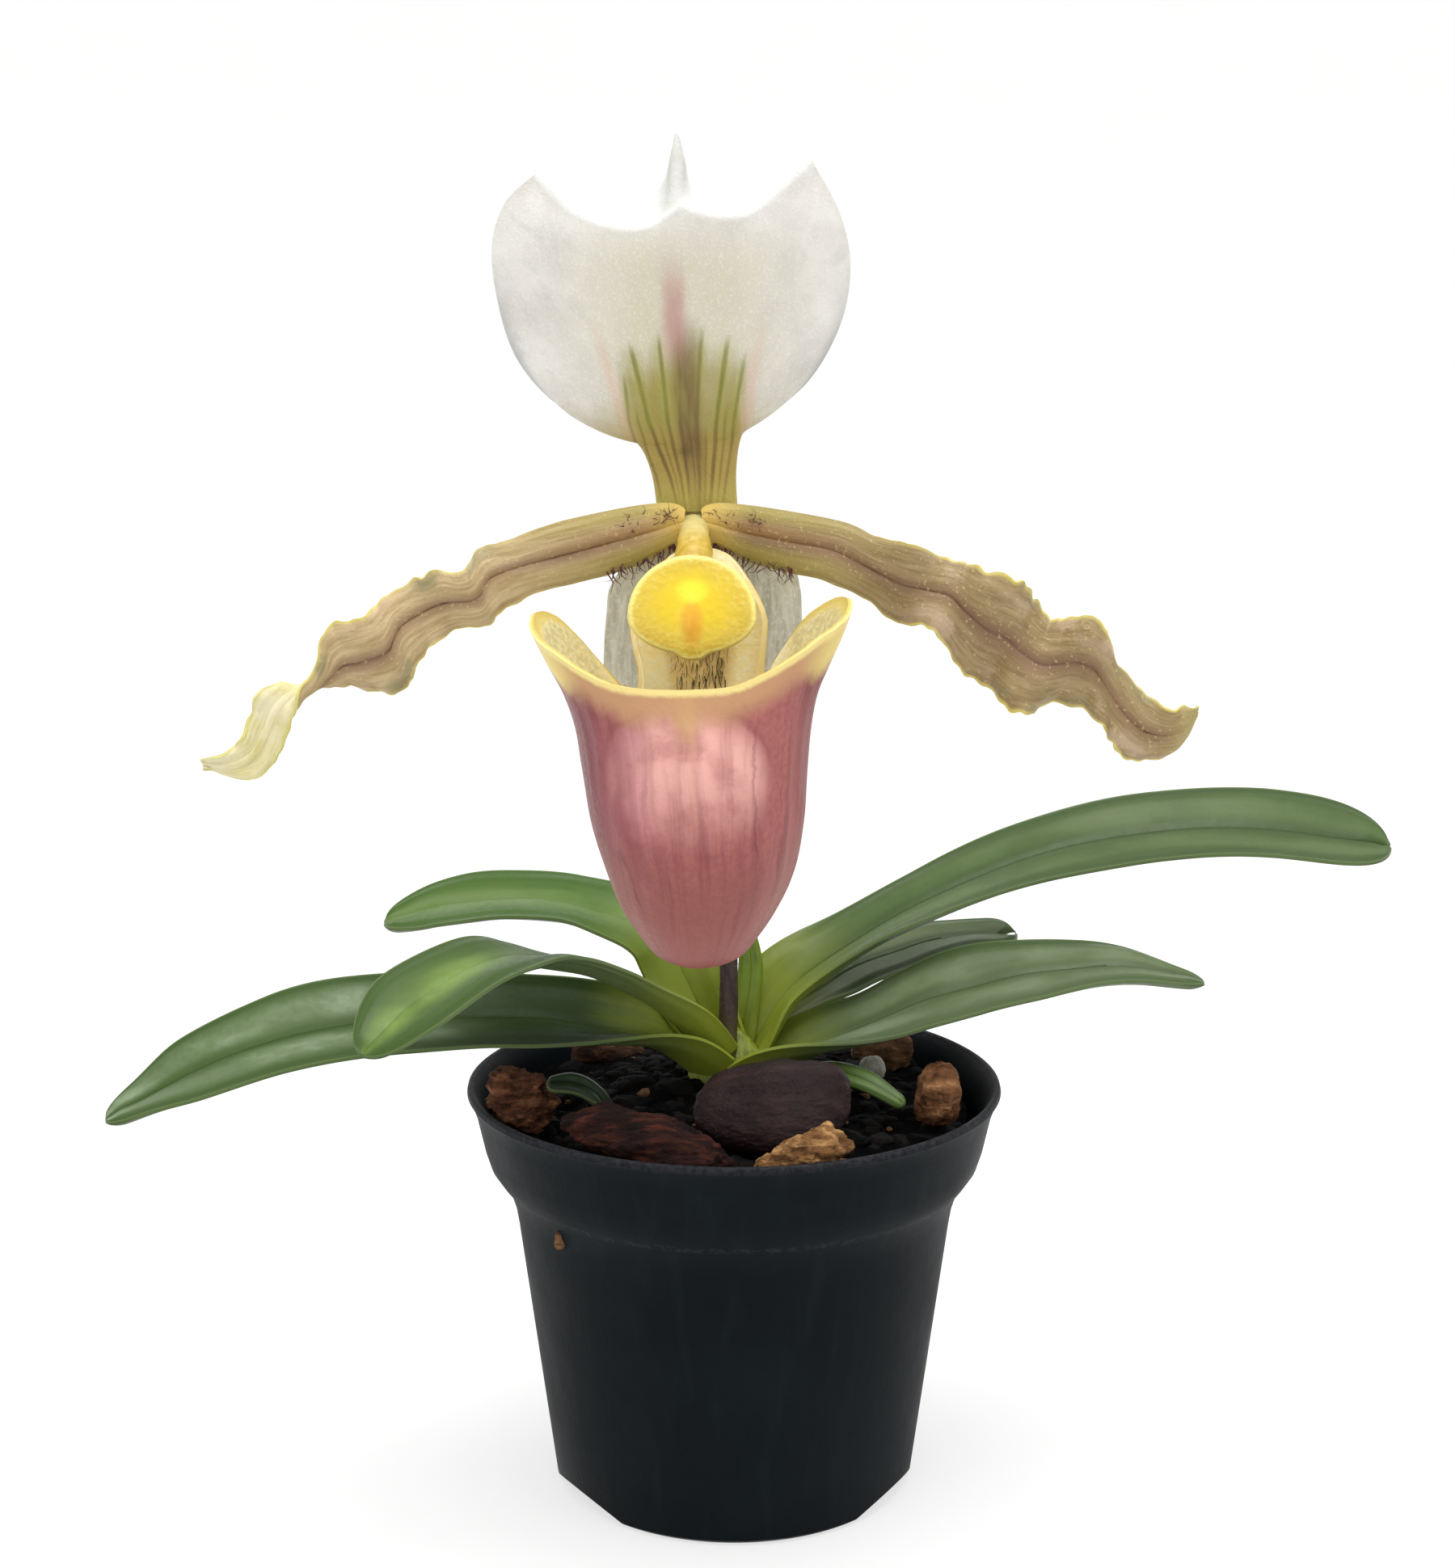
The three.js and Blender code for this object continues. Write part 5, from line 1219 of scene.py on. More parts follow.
# %% Petal forms
PETAL = {"thickness": 0.7, "arch": 0.45, "rib": 0.2, "ruffle": 1.25, "scallop": 0.1}
PETALS = {  # depth Y, upper margin X and Z, lower margin X and Z, roll in degrees
    "petal_left": [
        (-29.9, -4.3, 98.9, -4.0, 95.9, 0), (-30.4, -7.6, 98.7, -7.3, 94.1, 0),
        (-31.0, -11.3, 98.1, -10.2, 93.1, 4),
        (-31.2, -15.2, 97.2, -12.8, 92.4, 8), (-31.6, -18.6, 95.9, -16.2, 91.7, -6),
        (-31.8, -21.0, 95.3, -18.8, 90.4, -12), (-32.2, -22.2, 93.6, -20.1, 89.1, 10),
        (-32.5, -24.9, 93.5, -22.4, 88.7, 16), (-32.8, -26.3, 92.8, -24.6, 87.6, -4),
        (-33.0, -28.5, 91.6, -25.9, 86.2, -16), (-33.2, -29.9, 90.2, -26.8, 84.0, 6),
        (-33.6, -32.0, 89.8, -28.7, 83.1, 18), (-33.8, -33.4, 88.7, -30.4, 83.6, 22),
        (-34.0, -34.3, 86.6, -31.9, 84.0, 48), (-34.3, -35.4, 85.4, -33.6, 83.3, 92),
        (-34.6, -37.2, 84.8, -35.2, 82.3, 138), (-34.8, -38.7, 83.8, -36.1, 80.9, 168),
        (-35.0, -39.4, 82.2, -37.1, 79.0, 184), (-35.3, -40.0, 80.5, -38.5, 77.2, 188),
        (-35.6, -41.2, 79.3, -40.6, 76.9, 184), (-35.9, -43.4, 78.6, -43.1, 77.9, 180),
    ],
    "petal_right": [
        (-29.9, -2.6, 98.9, -2.8, 96.0, 0), (-30.4, 0.8, 98.7, 0.5, 94.3, 0),
        (-31.0, 4.6, 98.2, 4.3, 93.3, -4),
        (-31.2, 8.8, 97.4, 7.2, 92.7, -8), (-31.6, 11.6, 96.3, 10.4, 91.2, 8),
        (-31.9, 14.2, 95.9, 12.9, 89.2, 14),
        (-32.2, 16.8, 94.7, 14.6, 89.1, -10), (-32.5, 18.8, 94.3, 16.2, 88.5, -16),
        (-32.8, 20.0, 93.8, 17.6, 86.8, 4), (-33.0, 22.2, 93.4, 18.8, 84.7, 18),
        (-33.2, 23.5, 92.6, 20.8, 83.8, 8),
        (-33.5, 24.4, 91.4, 22.1, 82.6, -12), (-33.8, 25.7, 90.1, 23.7, 82.0, -18),
        (-34.0, 27.1, 89.8, 24.9, 82.5, 0), (-34.3, 28.7, 90.2, 26.6, 82.7, 16),
        (-34.6, 29.9, 89.2, 28.7, 82.2, 10),
        (-34.8, 30.7, 86.8, 30.1, 80.8, -6), (-35.0, 32.2, 85.1, 30.8, 79.4, -10),
        (-35.2, 33.6, 83.6, 32.3, 78.4, 0),
        (-35.5, 35.2, 82.9, 33.9, 78.4, 8), (-35.8, 36.6, 82.9, 35.8, 79.2, 6),
        (-36.0, 37.4, 83.1, 37.2, 82.0, 0),
    ],
}


def petal_surface(stations, seed):
    @lru_cache(maxsize=None)
    def section(t):
        depth, ux, uz, lx, lz, roll = (through([station[k] for station in stations], t) for k in range(6))
        middle = np.array([(ux + lx) / 2, depth, (uz + lz) / 2])
        half = np.array([(ux - lx) / 2, 0, (uz - lz) / 2])
        facing = np.array([0, -1.0, 0]) * np.linalg.norm(half)
        tilt = math.radians(roll)
        across = half * math.cos(tilt) + facing * math.sin(tilt)
        normal = facing * math.cos(tilt) - half * math.sin(tilt)
        return middle, across, normal / np.linalg.norm(normal)

    def surface(s, t):
        middle, across, normal = section(t)
        k = 2 * s - 1
        height = PETAL["arch"] * (0.5 - k * k) - PETAL["rib"] * bell(k, 0, 0.1)
        ruffle = noise.noise(Vector((math.copysign(3, k) + k * 0.6 + seed, t * 24, 1.0)))
        height += PETAL["ruffle"] * ruffle * abs(k) ** 2.2 * smooth(t, 0.14, 0.34)
        scallop = noise.noise(Vector((math.copysign(5, k) + seed, t * 42, 4.0)))
        reach = k * (1 + PETAL["scallop"] * scallop * abs(k) ** 3 * smooth(t, 0.1, 0.2))
        reach *= math.sqrt(1 - (0.6 if k < 0 else 0.1) * (1 - min(t / 0.03, 1)) ** 2)
        return middle - across * reach + normal * height

    return surface


# %% Petal finish
def petal_paint(name, dark, light):
    """Brown fibres over khaki, a rusty midrib, painted highlights and painted shade on the ruffle and a thin
    yellow margin.
    """
    paint = Paint(name, roughness=0.5, subsurface_weight=0.12, subsurface_radius=(0.001, 0.0008, 0.0005),
                  coat_weight=0.06, coat_roughness=0.35)
    here = paint.place()
    u, v = paint.uv()
    side = paint.node("Attribute", output="Fac", attribute_name="side")
    fibres = paint.noise(paint.vector(u * 16 + v * 3, v * 11), detail=5, roughness=0.68)
    threads = paint.noise(paint.vector(u * 46, v * 14), detail=3, roughness=0.6)
    cloud = paint.noise(here, scale=0.26, detail=4)
    dots = paint.noise(here, scale=3.2, detail=2)
    off = abs(u - 0.5 + (cloud - 0.5) * 0.09)
    edge = abs(u - 0.5)
    paint.colour = paint.mix(fibres.fade(0.3, 0.7), dark, light)
    paint.cover(threads.fade(0.5, 0.75, 0, 0.35), srgb(184, 162, 118))
    # Painted highlight in pale patches on the ruffle, and painted shade in olive-grey patches towards the
    # margins.
    ruffle_highlight = cloud.fade(0.5, 0.66) * v.fade(0.2, 0.36) * edge.fade(0.1, 0.3)
    paint.cover(ruffle_highlight * 0.7, srgb(190, 164, 138))
    shade = cloud.fade(0.46, 0.34) * edge.fade(0.2, 0.4) * v.fade(0.14, 0.3)
    paint.cover(shade * 0.6, srgb(126, 122, 82))
    ends = v.fade(0.0, 0.1) * v.fade(1.0, 0.86)
    streak = off.fade(0.2, 0.0) * ends
    paint.cover(streak * fibres.fade(0.3, 0.62, 0.45, 0.92), srgb(112, 76, 52))
    rib = off.fade(0.035, 0.0) * ends * threads.fade(0.3, 0.6, 0.2, 0.65)
    paint.cover(rib, srgb(88, 54, 42))
    rust = v.fade(0.2, 0.03) * abs(u - 0.42).fade(0.22, 0.05)
    paint.cover(rust * fibres.fade(0.3, 0.6, 0.2, 0.7), srgb(150, 104, 54))
    foot = v.fade(0.26, 0.04) * abs(u - 0.45).fade(0.12, 0.34)
    paint.cover(foot * 0.8, srgb(160, 145, 64))
    paint.cover(dots.fade(0.6, 0.72, 0, 0.5), srgb(196, 180, 122))
    hem = edge.fade(0.45, 0.49) * v.fade(0.12, 0.3) * cloud.fade(0.3, 0.5, 0.35, 0.9)
    paint.cover(hem, srgb(206, 190, 100))
    paint.cover((v + (cloud - 0.5) * 0.03).fade(0.06, 0.0) * 0.95, srgb(216, 184, 92))
    paint.cover(v.fade(0.9, 1.0, 0, 0.6), srgb(176, 164, 100))
    back = paint.mix(fibres.fade(0.3, 0.7), srgb(194, 182, 114), srgb(220, 212, 166))
    back = paint.mix(cloud.fade(0.42, 0.66, 0, 0.8), back, srgb(220, 212, 182))
    back = paint.mix(edge.fade(0.42, 0.5, 0, 0.6), back, srgb(196, 192, 92))
    paint.set("Base Color", paint.mix(side.fade(0.45, 0.55), back, paint.colour))
    paint.set("Roughness", dots.fade(0.3, 0.7, 0.42, 0.58))
    paint.bump(fibres * 0.6 + dots * 0.5 + off.fade(0.0, 0.05) * 0.3, 0.13)
    return paint.material


# The left petal's finish is painted lighter, as painted light, and the right one's darker, as painted shade.
petal_paints = {
    "petal_left": petal_paint("petal_brown_left", srgb(156, 131, 84), srgb(197, 174, 132)),
    "petal_right": petal_paint("petal_brown_right", srgb(124, 102, 60), srgb(160, 137, 94)),
}
petal_surfaces = {}
for seed, (node, stations) in enumerate(PETALS.items()):
    petal_surfaces[node] = petal_surface(stations, seed * 5.0)
    piece = grid(node + "_ribbon", 34, 260, petal_surfaces[node])
    thicken(piece, PETAL["thickness"], margin=0.35, rim=0.14, front=node == "petal_right")
    finish(piece, petal_paints[node], "petal_brown", node)
print("petals:", ", ".join(PETALS))

# %% [markdown]
# The lip is a deep pouch with a low front rim and an ear on each side. Its back wall narrows to a claw
# that runs up behind the column, with a hairy channel inside. It is a rolled-up grid: each column runs
# from the pouch's foot to the rim, whose height changes with the angle.

# %% Lip form
LIP_WALL = 0.8
LIP_LEVELS = [  # height, centre X, half-width, front Y, back Y
    (63.55, -2.85, 0.0, -44.0, -44.0), (63.7, -2.85, 1.5, -45.6, -42.4), (64.6, -2.85, 3.4, -47.7, -40.1),
    (66.2, -2.85, 4.75, -49.4, -38.1), (68.4, -2.85, 6.15, -50.8, -36.5), (71.4, -2.75, 7.4, -51.8, -35.2),
    (75.4, -3.0, 8.4, -52.1, -34.4), (79.4, -3.2, 8.85, -51.8, -33.8), (82.6, -3.3, 9.25, -51.2, -33.3),
    (85.2, -3.5, 10.0, -50.5, -32.9), (87.4, -3.65, 11.1, -50.0, -32.6), (90.4, -3.75, 12.5, -49.6, -32.3),
    (93.0, -3.7, 13.2, -49.4, -32.1), (96.0, -3.5, 13.4, -49.4, -32.0),
]
LIP_RIM = [  # angle from the front in degrees, height of the margin there on the left and on the right
    (0, 86.75, 86.75), (20, 86.75, 87.0), (35, 87.0, 88.0), (47, 87.7, 89.1), (58, 88.6, 90.1),
    (78, 89.6, 91.2),
    (92, 90.3, 91.9), (102, 90.9, 92.2), (112, 90.9, 92.0), (122, 90.1, 91.2), (130, 88.1, 89.9),
    (139, 84.9, 87.2), (145, 83.9, 85.2), (149, 84.9, 85.6), (152, 89.6, 89.6), (155, 92.8, 92.8),
    (160, 94.5, 94.5), (170, 95.3, 95.3), (180, 95.4, 95.4),
]
LIP_SPREAD = ([0, 90, 112, 128, 166, 180], [0, 96, 122, 142, 158, 180])  # columns stand closer at the claw
CLAW_SHIFT = 0.73  # the claw stands a little to the right of the pouch
LIP_FOOT_Y = -43.9  # the middle of the pouch's foot, which is round up to the third level


def smooth_table(table, x, column):
    """A smooth value in a column of a table whose first column rises."""
    xs = [row[0] for row in table]
    i = min(max(int(np.searchsorted(xs, x)) - 1, 0), len(xs) - 2)
    w = min(max((x - xs[i]) / (xs[i + 1] - xs[i]), 0.0), 1.0)

    def slope(k):
        low, high = max(k - 1, 0), min(k + 1, len(xs) - 1)
        return (table[high][column] - table[low][column]) / (xs[high] - xs[low])

    step = xs[i + 1] - xs[i]
    return cubic(table[i][column], table[i + 1][column], slope(i) * step, slope(i + 1) * step, w)


def lip_rim(angle):
    return smooth_table(LIP_RIM, min(abs(angle), 180), 1 if angle < 0 else 2)


def lip_angle(s):
    """The angle of a column: 0 in front, positive on the right."""
    turn = 360 * (s % 1.0) - 180
    return math.copysign(float(np.interp(abs(turn), *LIP_SPREAD)), turn)


def lip_point(angle, z, inset=0.0):
    x, half, front, back = (smooth_table(LIP_LEVELS, z, k) for k in (1, 2, 3, 4))
    foot_z, (round_z, _, wide, near, far) = LIP_LEVELS[0][0], LIP_LEVELS[2]
    if z < round_z:
        k = math.sqrt(max((z - foot_z) / (round_z - foot_z), 0.0))
        half, front, back = wide * k, blend(LIP_FOOT_Y, near, k), blend(LIP_FOOT_Y, far, k)
    theta = math.radians(angle)
    deep = (back - front) / 2 - inset
    behind = smooth(abs(angle), 120, 142)
    narrow = 1 - 0.42 * smooth(z, 89, 96) * behind
    x += CLAW_SHIFT * smooth(abs(angle), 130, 150) * smooth(z, 80, 86)
    x += (half - inset) * narrow * math.sin(theta)
    return np.array([x, (front + back) / 2 - deep * math.cos(theta), z])


def lip_surface(s, v):
    angle = lip_angle(s)
    share = v**1.15
    z = blend(LIP_LEVELS[0][0], lip_rim(angle), share)
    point = lip_point(angle, z)
    out = np.array([math.sin(math.radians(angle)), -math.cos(math.radians(angle)), 0])
    pucker = 0.1 * noise.noise(Vector((out[0] * 9, -out[1] * 9, z * 0.12)))
    return point + out * pucker * smooth(v, 0.1, 0.3)


lip = sleeve("lip_pouch", 192, 96, lip_surface)
for loop in lip.data.uv_layers[0].data:
    loop.uv.x = 1.0 if loop.uv.x > 0.9999 else lip_angle(loop.uv.x) / 360 + 0.5
if sum(p.normal.y * p.area for p in lip.data.polygons if p.center.y < -0.045) > 0:
    lip.data.flip_normals()
thicken(lip, LIP_WALL, margin=0.5, rim=0.08, wall=-1.0)

# %% Lip finish
rose = Paint("lip_rose", roughness=0.4, subsurface_weight=0.15, subsurface_radius=(0.0016, 0.0008, 0.0006),
             specular_ior_level=0.24, coat_weight=0.04, coat_roughness=0.3)
here = rose.place()
u, v = rose.uv()
_, _, z = rose.parts(here)
side = rose.node("Attribute", output="Fac", attribute_name="side")
turned = abs(u - 0.5) * 360
left = (u - 0.5) * -360
cloud = rose.noise(here, scale=0.3, detail=5, roughness=0.6)
tall = rose.noise(rose.vector(u * 46 + cloud * 0.8, z * 0.05), detail=3, roughness=0.55)
broad = rose.noise(rose.vector(u * 13 + cloud, z * 0.05 + 3), detail=3)
thread = rose.noise(rose.vector(u * 20 + (cloud - 0.5) * 0.7, z * 0.03 + 7), detail=0)
fine = rose.noise(here, scale=2.2, detail=4, roughness=0.65)
rose.colour = rose.mix(fine.fade(0.3, 0.7), srgb(145, 83, 80), srgb(163, 96, 91))
rose.cover(tall.fade(0.46, 0.68, 0, 0.6), srgb(112, 50, 54))
# Painted highlight: a pale patch on the upper front of the pouch.
dome = ((left - 4) / 46) ** 2 + ((z + (cloud - 0.5) * 1.6 - 79.6) / 6.0) ** 2
pale = dome.fade(1.15, 0.45) * z.fade(73, 81)
pale = pale * cloud.fade(0.32, 0.6, 0.5, 0.95) * tall.fade(0.7, 0.4, 0.6, 1.0)
rose.cover(pale, srgb(222, 168, 158))
mauve = abs(left - 46).fade(34, 8) * z.fade(70, 76) * z.fade(86, 82)
rose.cover(mauve * cloud.fade(0.35, 0.6, 0.1, 0.55), srgb(170, 104, 118))
rose.cover(broad.fade(0.46, 0.7, 0, 0.45) * turned.fade(8, 34), srgb(120, 56, 60))
rose.cover(left.fade(34, 66, 0, 0.8) * z.fade(88, 83, 0.2, 1.0), srgb(110, 52, 56))
rose.cover(left.fade(-50, -82, 0, 0.45), srgb(116, 56, 58))
low = (z + (cloud - 0.5) * 6).fade(77, 69)
rose.cover(low * 0.75 * tall.fade(0.6, 0.4, 0.6, 1.0), srgb(130, 76, 66))
rose.cover(low * turned.fade(30, 70) * 0.5, srgb(160, 112, 106))
veins = abs(thread - 0.5).fade(0.03, 0.0) * turned.fade(16, 40) * cloud.fade(0.35, 0.6, 0.1, 1.0)
rose.cover(veins * z.fade(65, 72) * 0.5, srgb(96, 42, 50))
arch = abs(dome - 1).fade(0.13, 0.0) * z.fade(79, 83) * turned.fade(8, 22)
rose.cover(arch * fine.fade(0.3, 0.6, 0.15, 0.6), srgb(124, 62, 62))
seam = abs(left).fade(1.6, 0.2) * z.fade(75, 80)
rose.cover(seam * 0.4, srgb(196, 148, 116))
wedge = abs(left - 2).fade(9, 1) * (v + cloud * 0.1).fade(0.84, 0.97)
rose.cover(wedge * 0.7, srgb(196, 158, 100))
front = turned.fade(160, 138)
ragged = v + (cloud - 0.5) * 0.09 - turned.fade(52, 92) * 0.02
tan = (ragged + turned.fade(50, 90) * 0.03).fade(0.865, 0.955) * front
rose.cover(tan * 0.85, srgb(188, 146, 104))
ears = turned.fade(44, 74) * turned.fade(150, 128)
rose.cover((ragged + ears * 0.06).fade(0.9, 0.97) * front * ears, srgb(222, 200, 118))
rose.cover((v + (fine - 0.5) * 0.01).fade(0.972, 0.99) * front, srgb(228, 208, 134))
freckles = rose.noise(here, scale=2.4, detail=3)
inner = rose.mix(cloud.fade(0.35, 0.65), srgb(255, 234, 168), srgb(255, 246, 196))
inner = rose.mix(freckles.fade(0.5, 0.7, 0, 0.8), inner, srgb(255, 252, 226))
# Painted shade: a tan tint on the right edge of the claw, under the rim.
corner = turned.fade(162, 150) * turned.fade(140, 148) * left.fade(10, -10)
inner = rose.mix(corner * 0.6, inner, srgb(222, 190, 112))
ear_insides = turned.fade(62, 84) * turned.fade(140, 126)
inner = rose.mix(ear_insides * fine.fade(0.3, 0.65, 0.5, 0.95), inner, srgb(196, 182, 128))
inner = rose.mix(z.fade(84, 76), inner, srgb(140, 92, 72))
inner = rose.mix(v.fade(0.955, 0.99) * front, inner, srgb(206, 184, 100))
hairy = abs(turned - 180).fade(19, 12) * z.fade(93, 91)
inner = rose.mix(hairy * 0.7, inner, srgb(222, 192, 120))
rose.cover((turned + (cloud - 0.5) * 40).fade(128, 154), srgb(198, 172, 96))
rose.set("Base Color", rose.mix(side.fade(0.45, 0.55), inner, rose.colour))
rose.set("Roughness", fine.fade(0.3, 0.7, 0.34, 0.5))
rose.bump(tall * 0.35 + fine * 0.4 + cloud * 0.4 + freckles * 0.4, 0.12)
finish(lip, rose.material, "lip_rose", "lip")

# %% [markdown]
# The staminode is the bright yellow shield in the middle, granular at its margin, with a narrow boss.
# The column behind it is short and knobbly. Both are closed sleeves.

# %% Staminode
STAMINODE = {"at": (-3.45, -37.6, 90.6), "half": 5.1, "up": 4.9, "down": 3.05, "point": 0.45, "lean": 16}
SHELL = [(0.0, 0.5), (0.4, 0.48), (0.75, 0.42), (0.96, 0.26), (1.0, 0.0), (0.96, -0.24), (0.5, -0.38),
         (0.0, -0.42)]


def shield_surface(s, v):
    share, out = (through([row[k] for row in SHELL], v) for k in (0, 1))
    share = max(share, 0.0) if 0 < v < 1 else 0.0
    angle = 2 * math.pi * (s % 1.0)
    level, rise = math.cos(angle), math.sin(angle)
    x = share * STAMINODE["half"] * level
    z = share * ((STAMINODE["up"] if rise > 0 else STAMINODE["down"]) * rise
                 - STAMINODE["point"] * bell(rise, -1, 0.025))
    if v < 0.5:
        out += 0.45 * bell(x, 0, 0.8) * bell(z, -0.5, 1.9) - 0.16 * bell(x, 0, 2.4) * bell(z, 3.2, 1.8)
        out += 0.03 * noise.noise(Vector((x, z, 0)) * 1.7)
    lean = math.radians(STAMINODE["lean"])
    cx, cy, cz = STAMINODE["at"]
    level, rise = math.cos(lean), math.sin(lean)
    return cx + x, cy - out * level + z * rise, cz + z * level + out * rise


shield = sleeve("staminode_shield", 96, 60, shield_surface)
yellow = Paint("staminode_yellow", roughness=0.38, subsurface_weight=0.25,
               subsurface_radius=(0.0012, 0.001, 0.0004), coat_weight=0.2, coat_roughness=0.25)
here = yellow.place()
x, _, z = yellow.parts(here)
_, v = yellow.uv()
grains = yellow.node("TexVoronoi", {"Vector": here, "Scale": 2.6}, feature="F1")
cloud = yellow.noise(here, scale=0.6, detail=4)
fine = yellow.noise(here, scale=2.4, detail=3)
x = x - STAMINODE["at"][0]
across = abs(x)
away = ((x / STAMINODE["half"]) ** 2 + ((z - 91.5) / 3.9) ** 2) ** 0.5 + (cloud - 0.5) * 0.25
yellow.colour = yellow.mix(away.fade(0.3, 0.95), srgb(230, 200, 8), srgb(214, 186, 60))
frost = fine.fade(0.52, 0.7, 0, 0.45) * away.fade(0.35, 0.9, 0.1, 1.0)
yellow.cover(frost, srgb(232, 214, 112))
boss = (across / (0.5 + (z - 92.4).fade(0, -1.6) * 0.5)) ** 2 + ((z - 90.3) / 2.2) ** 2
yellow.cover(boss.fade(1.3, 0.0, 0, 0.75), srgb(226, 156, 10))
yellow.cover((v + (fine - 0.5) * 0.04).fade(0.36, 0.44, 0, 0.85), srgb(240, 228, 138))
glint = (across / 1.5) ** 2 + ((z - 92.6) / 1.0) ** 2
yellow.cover(glint.fade(1.3, 0.1, 0, 0.8), srgb(250, 226, 40))
yellow.set("Base Color", yellow.colour)
yellow.set("Roughness", fine.fade(0.3, 0.7, 0.3, 0.46))
yellow.bump(grains * away.fade(0.5, 0.9, 0.1, 0.9) + fine * 0.8, 0.05)
finish(shield, yellow.material, "staminode_yellow", "staminode")

# %% Column
COLUMN = [(-3.4, -28.3, 96.5), (-3.35, -31.0, 96.5), (-3.35, -33.6, 95.1), (-3.4, -35.7, 93.1)]
COLUMN_RADII = [1.35, 1.2, 1.5, 1.6]
column = stem("column_post", COLUMN, COLUMN_RADII, 40, 80, rough=0.06)
post = Paint("column_yellow", roughness=0.45, subsurface_weight=0.3,
             subsurface_radius=(0.0015, 0.0012, 0.0006))
knobs = post.noise(post.place(), scale=1.5, detail=3)
_, _, z = post.parts(post.place())
post.colour = post.mix(knobs.fade(0.3, 0.7), srgb(186, 150, 40), srgb(206, 176, 70))
post.cover((z + knobs * 0.8).fade(96.4, 98.0), srgb(212, 196, 128))
post.set("Base Color", post.colour)
post.bump(knobs, 0.08)
finish(column, post.material, "column_yellow", "column")

# %% [markdown]
# Short dark hairs stand on the feet of the petals and line the channel of the lip. A hair is a thin
# three-sided cone with a few bends. Four hairs are modelled and then copied, because the export keeps
# meshes and drops hair curves.

# %% Hairs
HAIRS = {"petal": 62, "channel": 190, "scape": 520, "ovary": 380}  # how many stand on each


def hair_shape(curl, twist):
    """A hair 1 mm long along Z, bent sideways."""
    bpy.ops.mesh.primitive_cone_add(vertices=3, radius1=0.05, radius2=0.012, depth=1, location=(0, 0, 0))
    shape = bpy.context.object
    bpy.ops.object.mode_set(mode="EDIT")
    bpy.ops.mesh.select_all(action="DESELECT")
    bpy.ops.object.mode_set(mode="OBJECT")
    for edge in shape.data.edges:
        a, b = (shape.data.vertices[i].co.z for i in edge.vertices)
        edge.select = abs(a - b) > 0.5
    bpy.ops.object.mode_set(mode="EDIT")
    bpy.ops.mesh.select_mode(type="EDGE")
    bpy.ops.mesh.subdivide(number_cuts=4)
    bpy.ops.object.mode_set(mode="OBJECT")
    points = []
    for vertex in shape.data.vertices:
        k = vertex.co.z + 0.5
        swing = curl * k * k
        points.append((vertex.co.x + swing * math.cos(twist * k), vertex.co.y + swing * math.sin(twist * k),
                       k * (1 - 0.3 * abs(curl) * k)))
    faces = [tuple(p.vertices) for p in shape.data.polygons]
    bpy.data.objects.remove(shape)
    return np.array(points), faces


hair_shapes = [hair_shape(0.5, 2.6), hair_shape(0.8, 4.2), hair_shape(-0.6, 3.4), hair_shape(0.25, 5.0)]


def hair_place(root, direction, length, thickness=1.0):
    aim = Vector(direction).normalized().to_track_quat("Z", "Y").to_matrix().to_4x4()
    size = Matrix.Diagonal((length * thickness, length * thickness, length, 1))
    turn = Matrix.Rotation(chance.uniform(0, FULL_TURN), 4, "Z")
    return chance.randrange(len(hair_shapes)), Matrix.Translation(Vector(root)) @ aim @ turn @ size


def hair_finish(name, roughness, dark, light):
    paint = Paint(name, roughness=roughness)
    tint = paint.noise(paint.place(), scale=1.0, detail=2)
    paint.set("Base Color", paint.mix(tint, dark, light))
    return paint.material


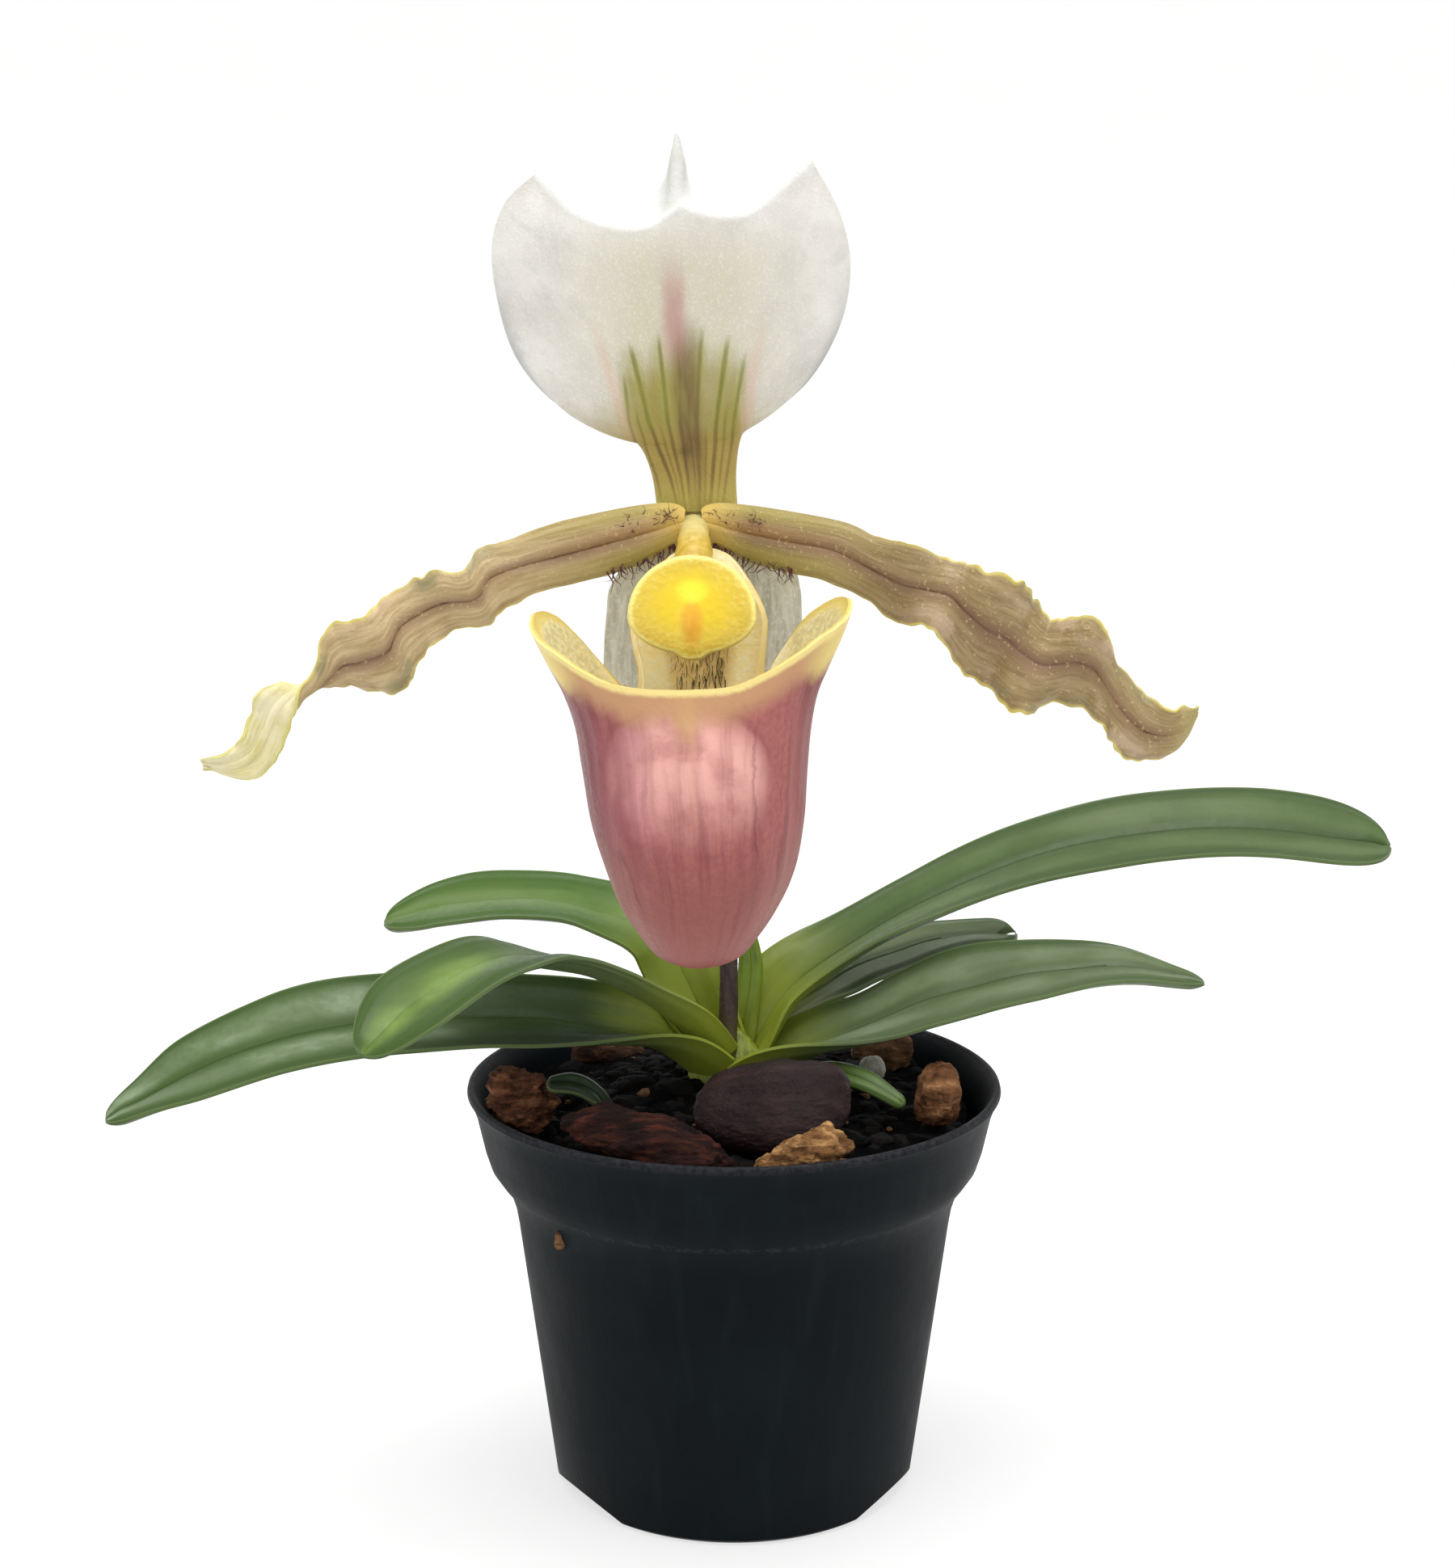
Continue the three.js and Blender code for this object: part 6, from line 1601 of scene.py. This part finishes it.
def petal_hairs(surface, outward, count):
    """Hairs on a petal's foot: a patch near the upper margin and a fringe on the lower one."""
    places = []
    for _ in range(count):
        fringe = chance.random() < 0.62
        s = chance.uniform(0.8, 0.98) if fringe else chance.uniform(0.14, 0.46)
        t = 0.018 + 0.088 * chance.random() ** 1.5 if fringe else 0.012 + 0.06 * chance.random()
        if fringe and s < 0.98 - 1.6 * (t - 0.02):
            s = chance.uniform(0.93, 0.98)
        root = surface(s, t) + np.array([0, -0.3, 0])
        drop = -1.0 if fringe else 0.25
        direction = (outward * chance.uniform(-0.9, 0.5), -0.5, drop + chance.uniform(-0.5, 0.5))
        places.append(hair_place(root, direction, chance.uniform(1.0, 1.9) * (1 if fringe else 0.6), 1.0))
    return places


maroon = hair_finish("hair_maroon", 0.55, srgb(64, 26, 30), srgb(96, 48, 38))
hairs = petal_hairs(petal_surfaces["petal_left"], -1, HAIRS["petal"])
hairs += petal_hairs(petal_surfaces["petal_right"], 1, HAIRS["petal"])
finish(scatter("petal_hairs", hair_shapes, hairs), maroon, "petal_brown")

channel = []
for _ in range(HAIRS["channel"]):
    angle = 180 + chance.uniform(-13, 13)
    z = chance.uniform(84.5, 91.5)
    root = lip_point(angle if angle <= 180 else angle - 360, z, LIP_WALL + 0.02)
    channel.append(hair_place(root, (chance.uniform(-0.2, 0.2), -0.25, -1.0), chance.uniform(1.0, 2.0), 0.42))
olive = hair_finish("hair_olive", 0.6, srgb(60, 46, 16), srgb(92, 70, 28))
finish(scatter("channel_hairs", hair_shapes, channel), olive, "lip_rose")

# %% [markdown]
# The flower stem and the ovary carry a fine down. The hairs stand out of the skin and lean a little
# towards the flower.

# %% Down on the stem
def down_places(points, radii, count, low, high):
    curve, places = Curve(points), []
    for _ in range(count):
        t = chance.uniform(low, high)
        along, across, up = curve.axes(t)
        angle = chance.uniform(0, 2 * math.pi)
        out = across * math.cos(angle) + up * math.sin(angle)
        root = curve.at(t) + out * through(radii, t) * 0.92
        places.append(hair_place(root, out + along * 0.3, chance.uniform(0.35, 0.6), 0.9))
    return places


DOWN_RADII = [0.95, 0.85, 0.85, 1.0]  # a little inside the skin of the scape
down = down_places(SCAPE, DOWN_RADII, HAIRS["scape"], 0.1, 0.98)
down += down_places(OVARY, OVARY_RADII, HAIRS["ovary"], 0.02, 0.93)
fuzz = hair_finish("stem_down", 0.7, srgb(70, 52, 48), srgb(116, 98, 84))
finish(scatter("stem_down", hair_shapes, down), fuzz, "scape_skin")
print("hairs:", sum(HAIRS.values()) + HAIRS["petal"])

# %% Close the scene
low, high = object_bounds()
print("visual box in mm:", [round((b - a) / MM, 1) for a, b in zip(low, high)])
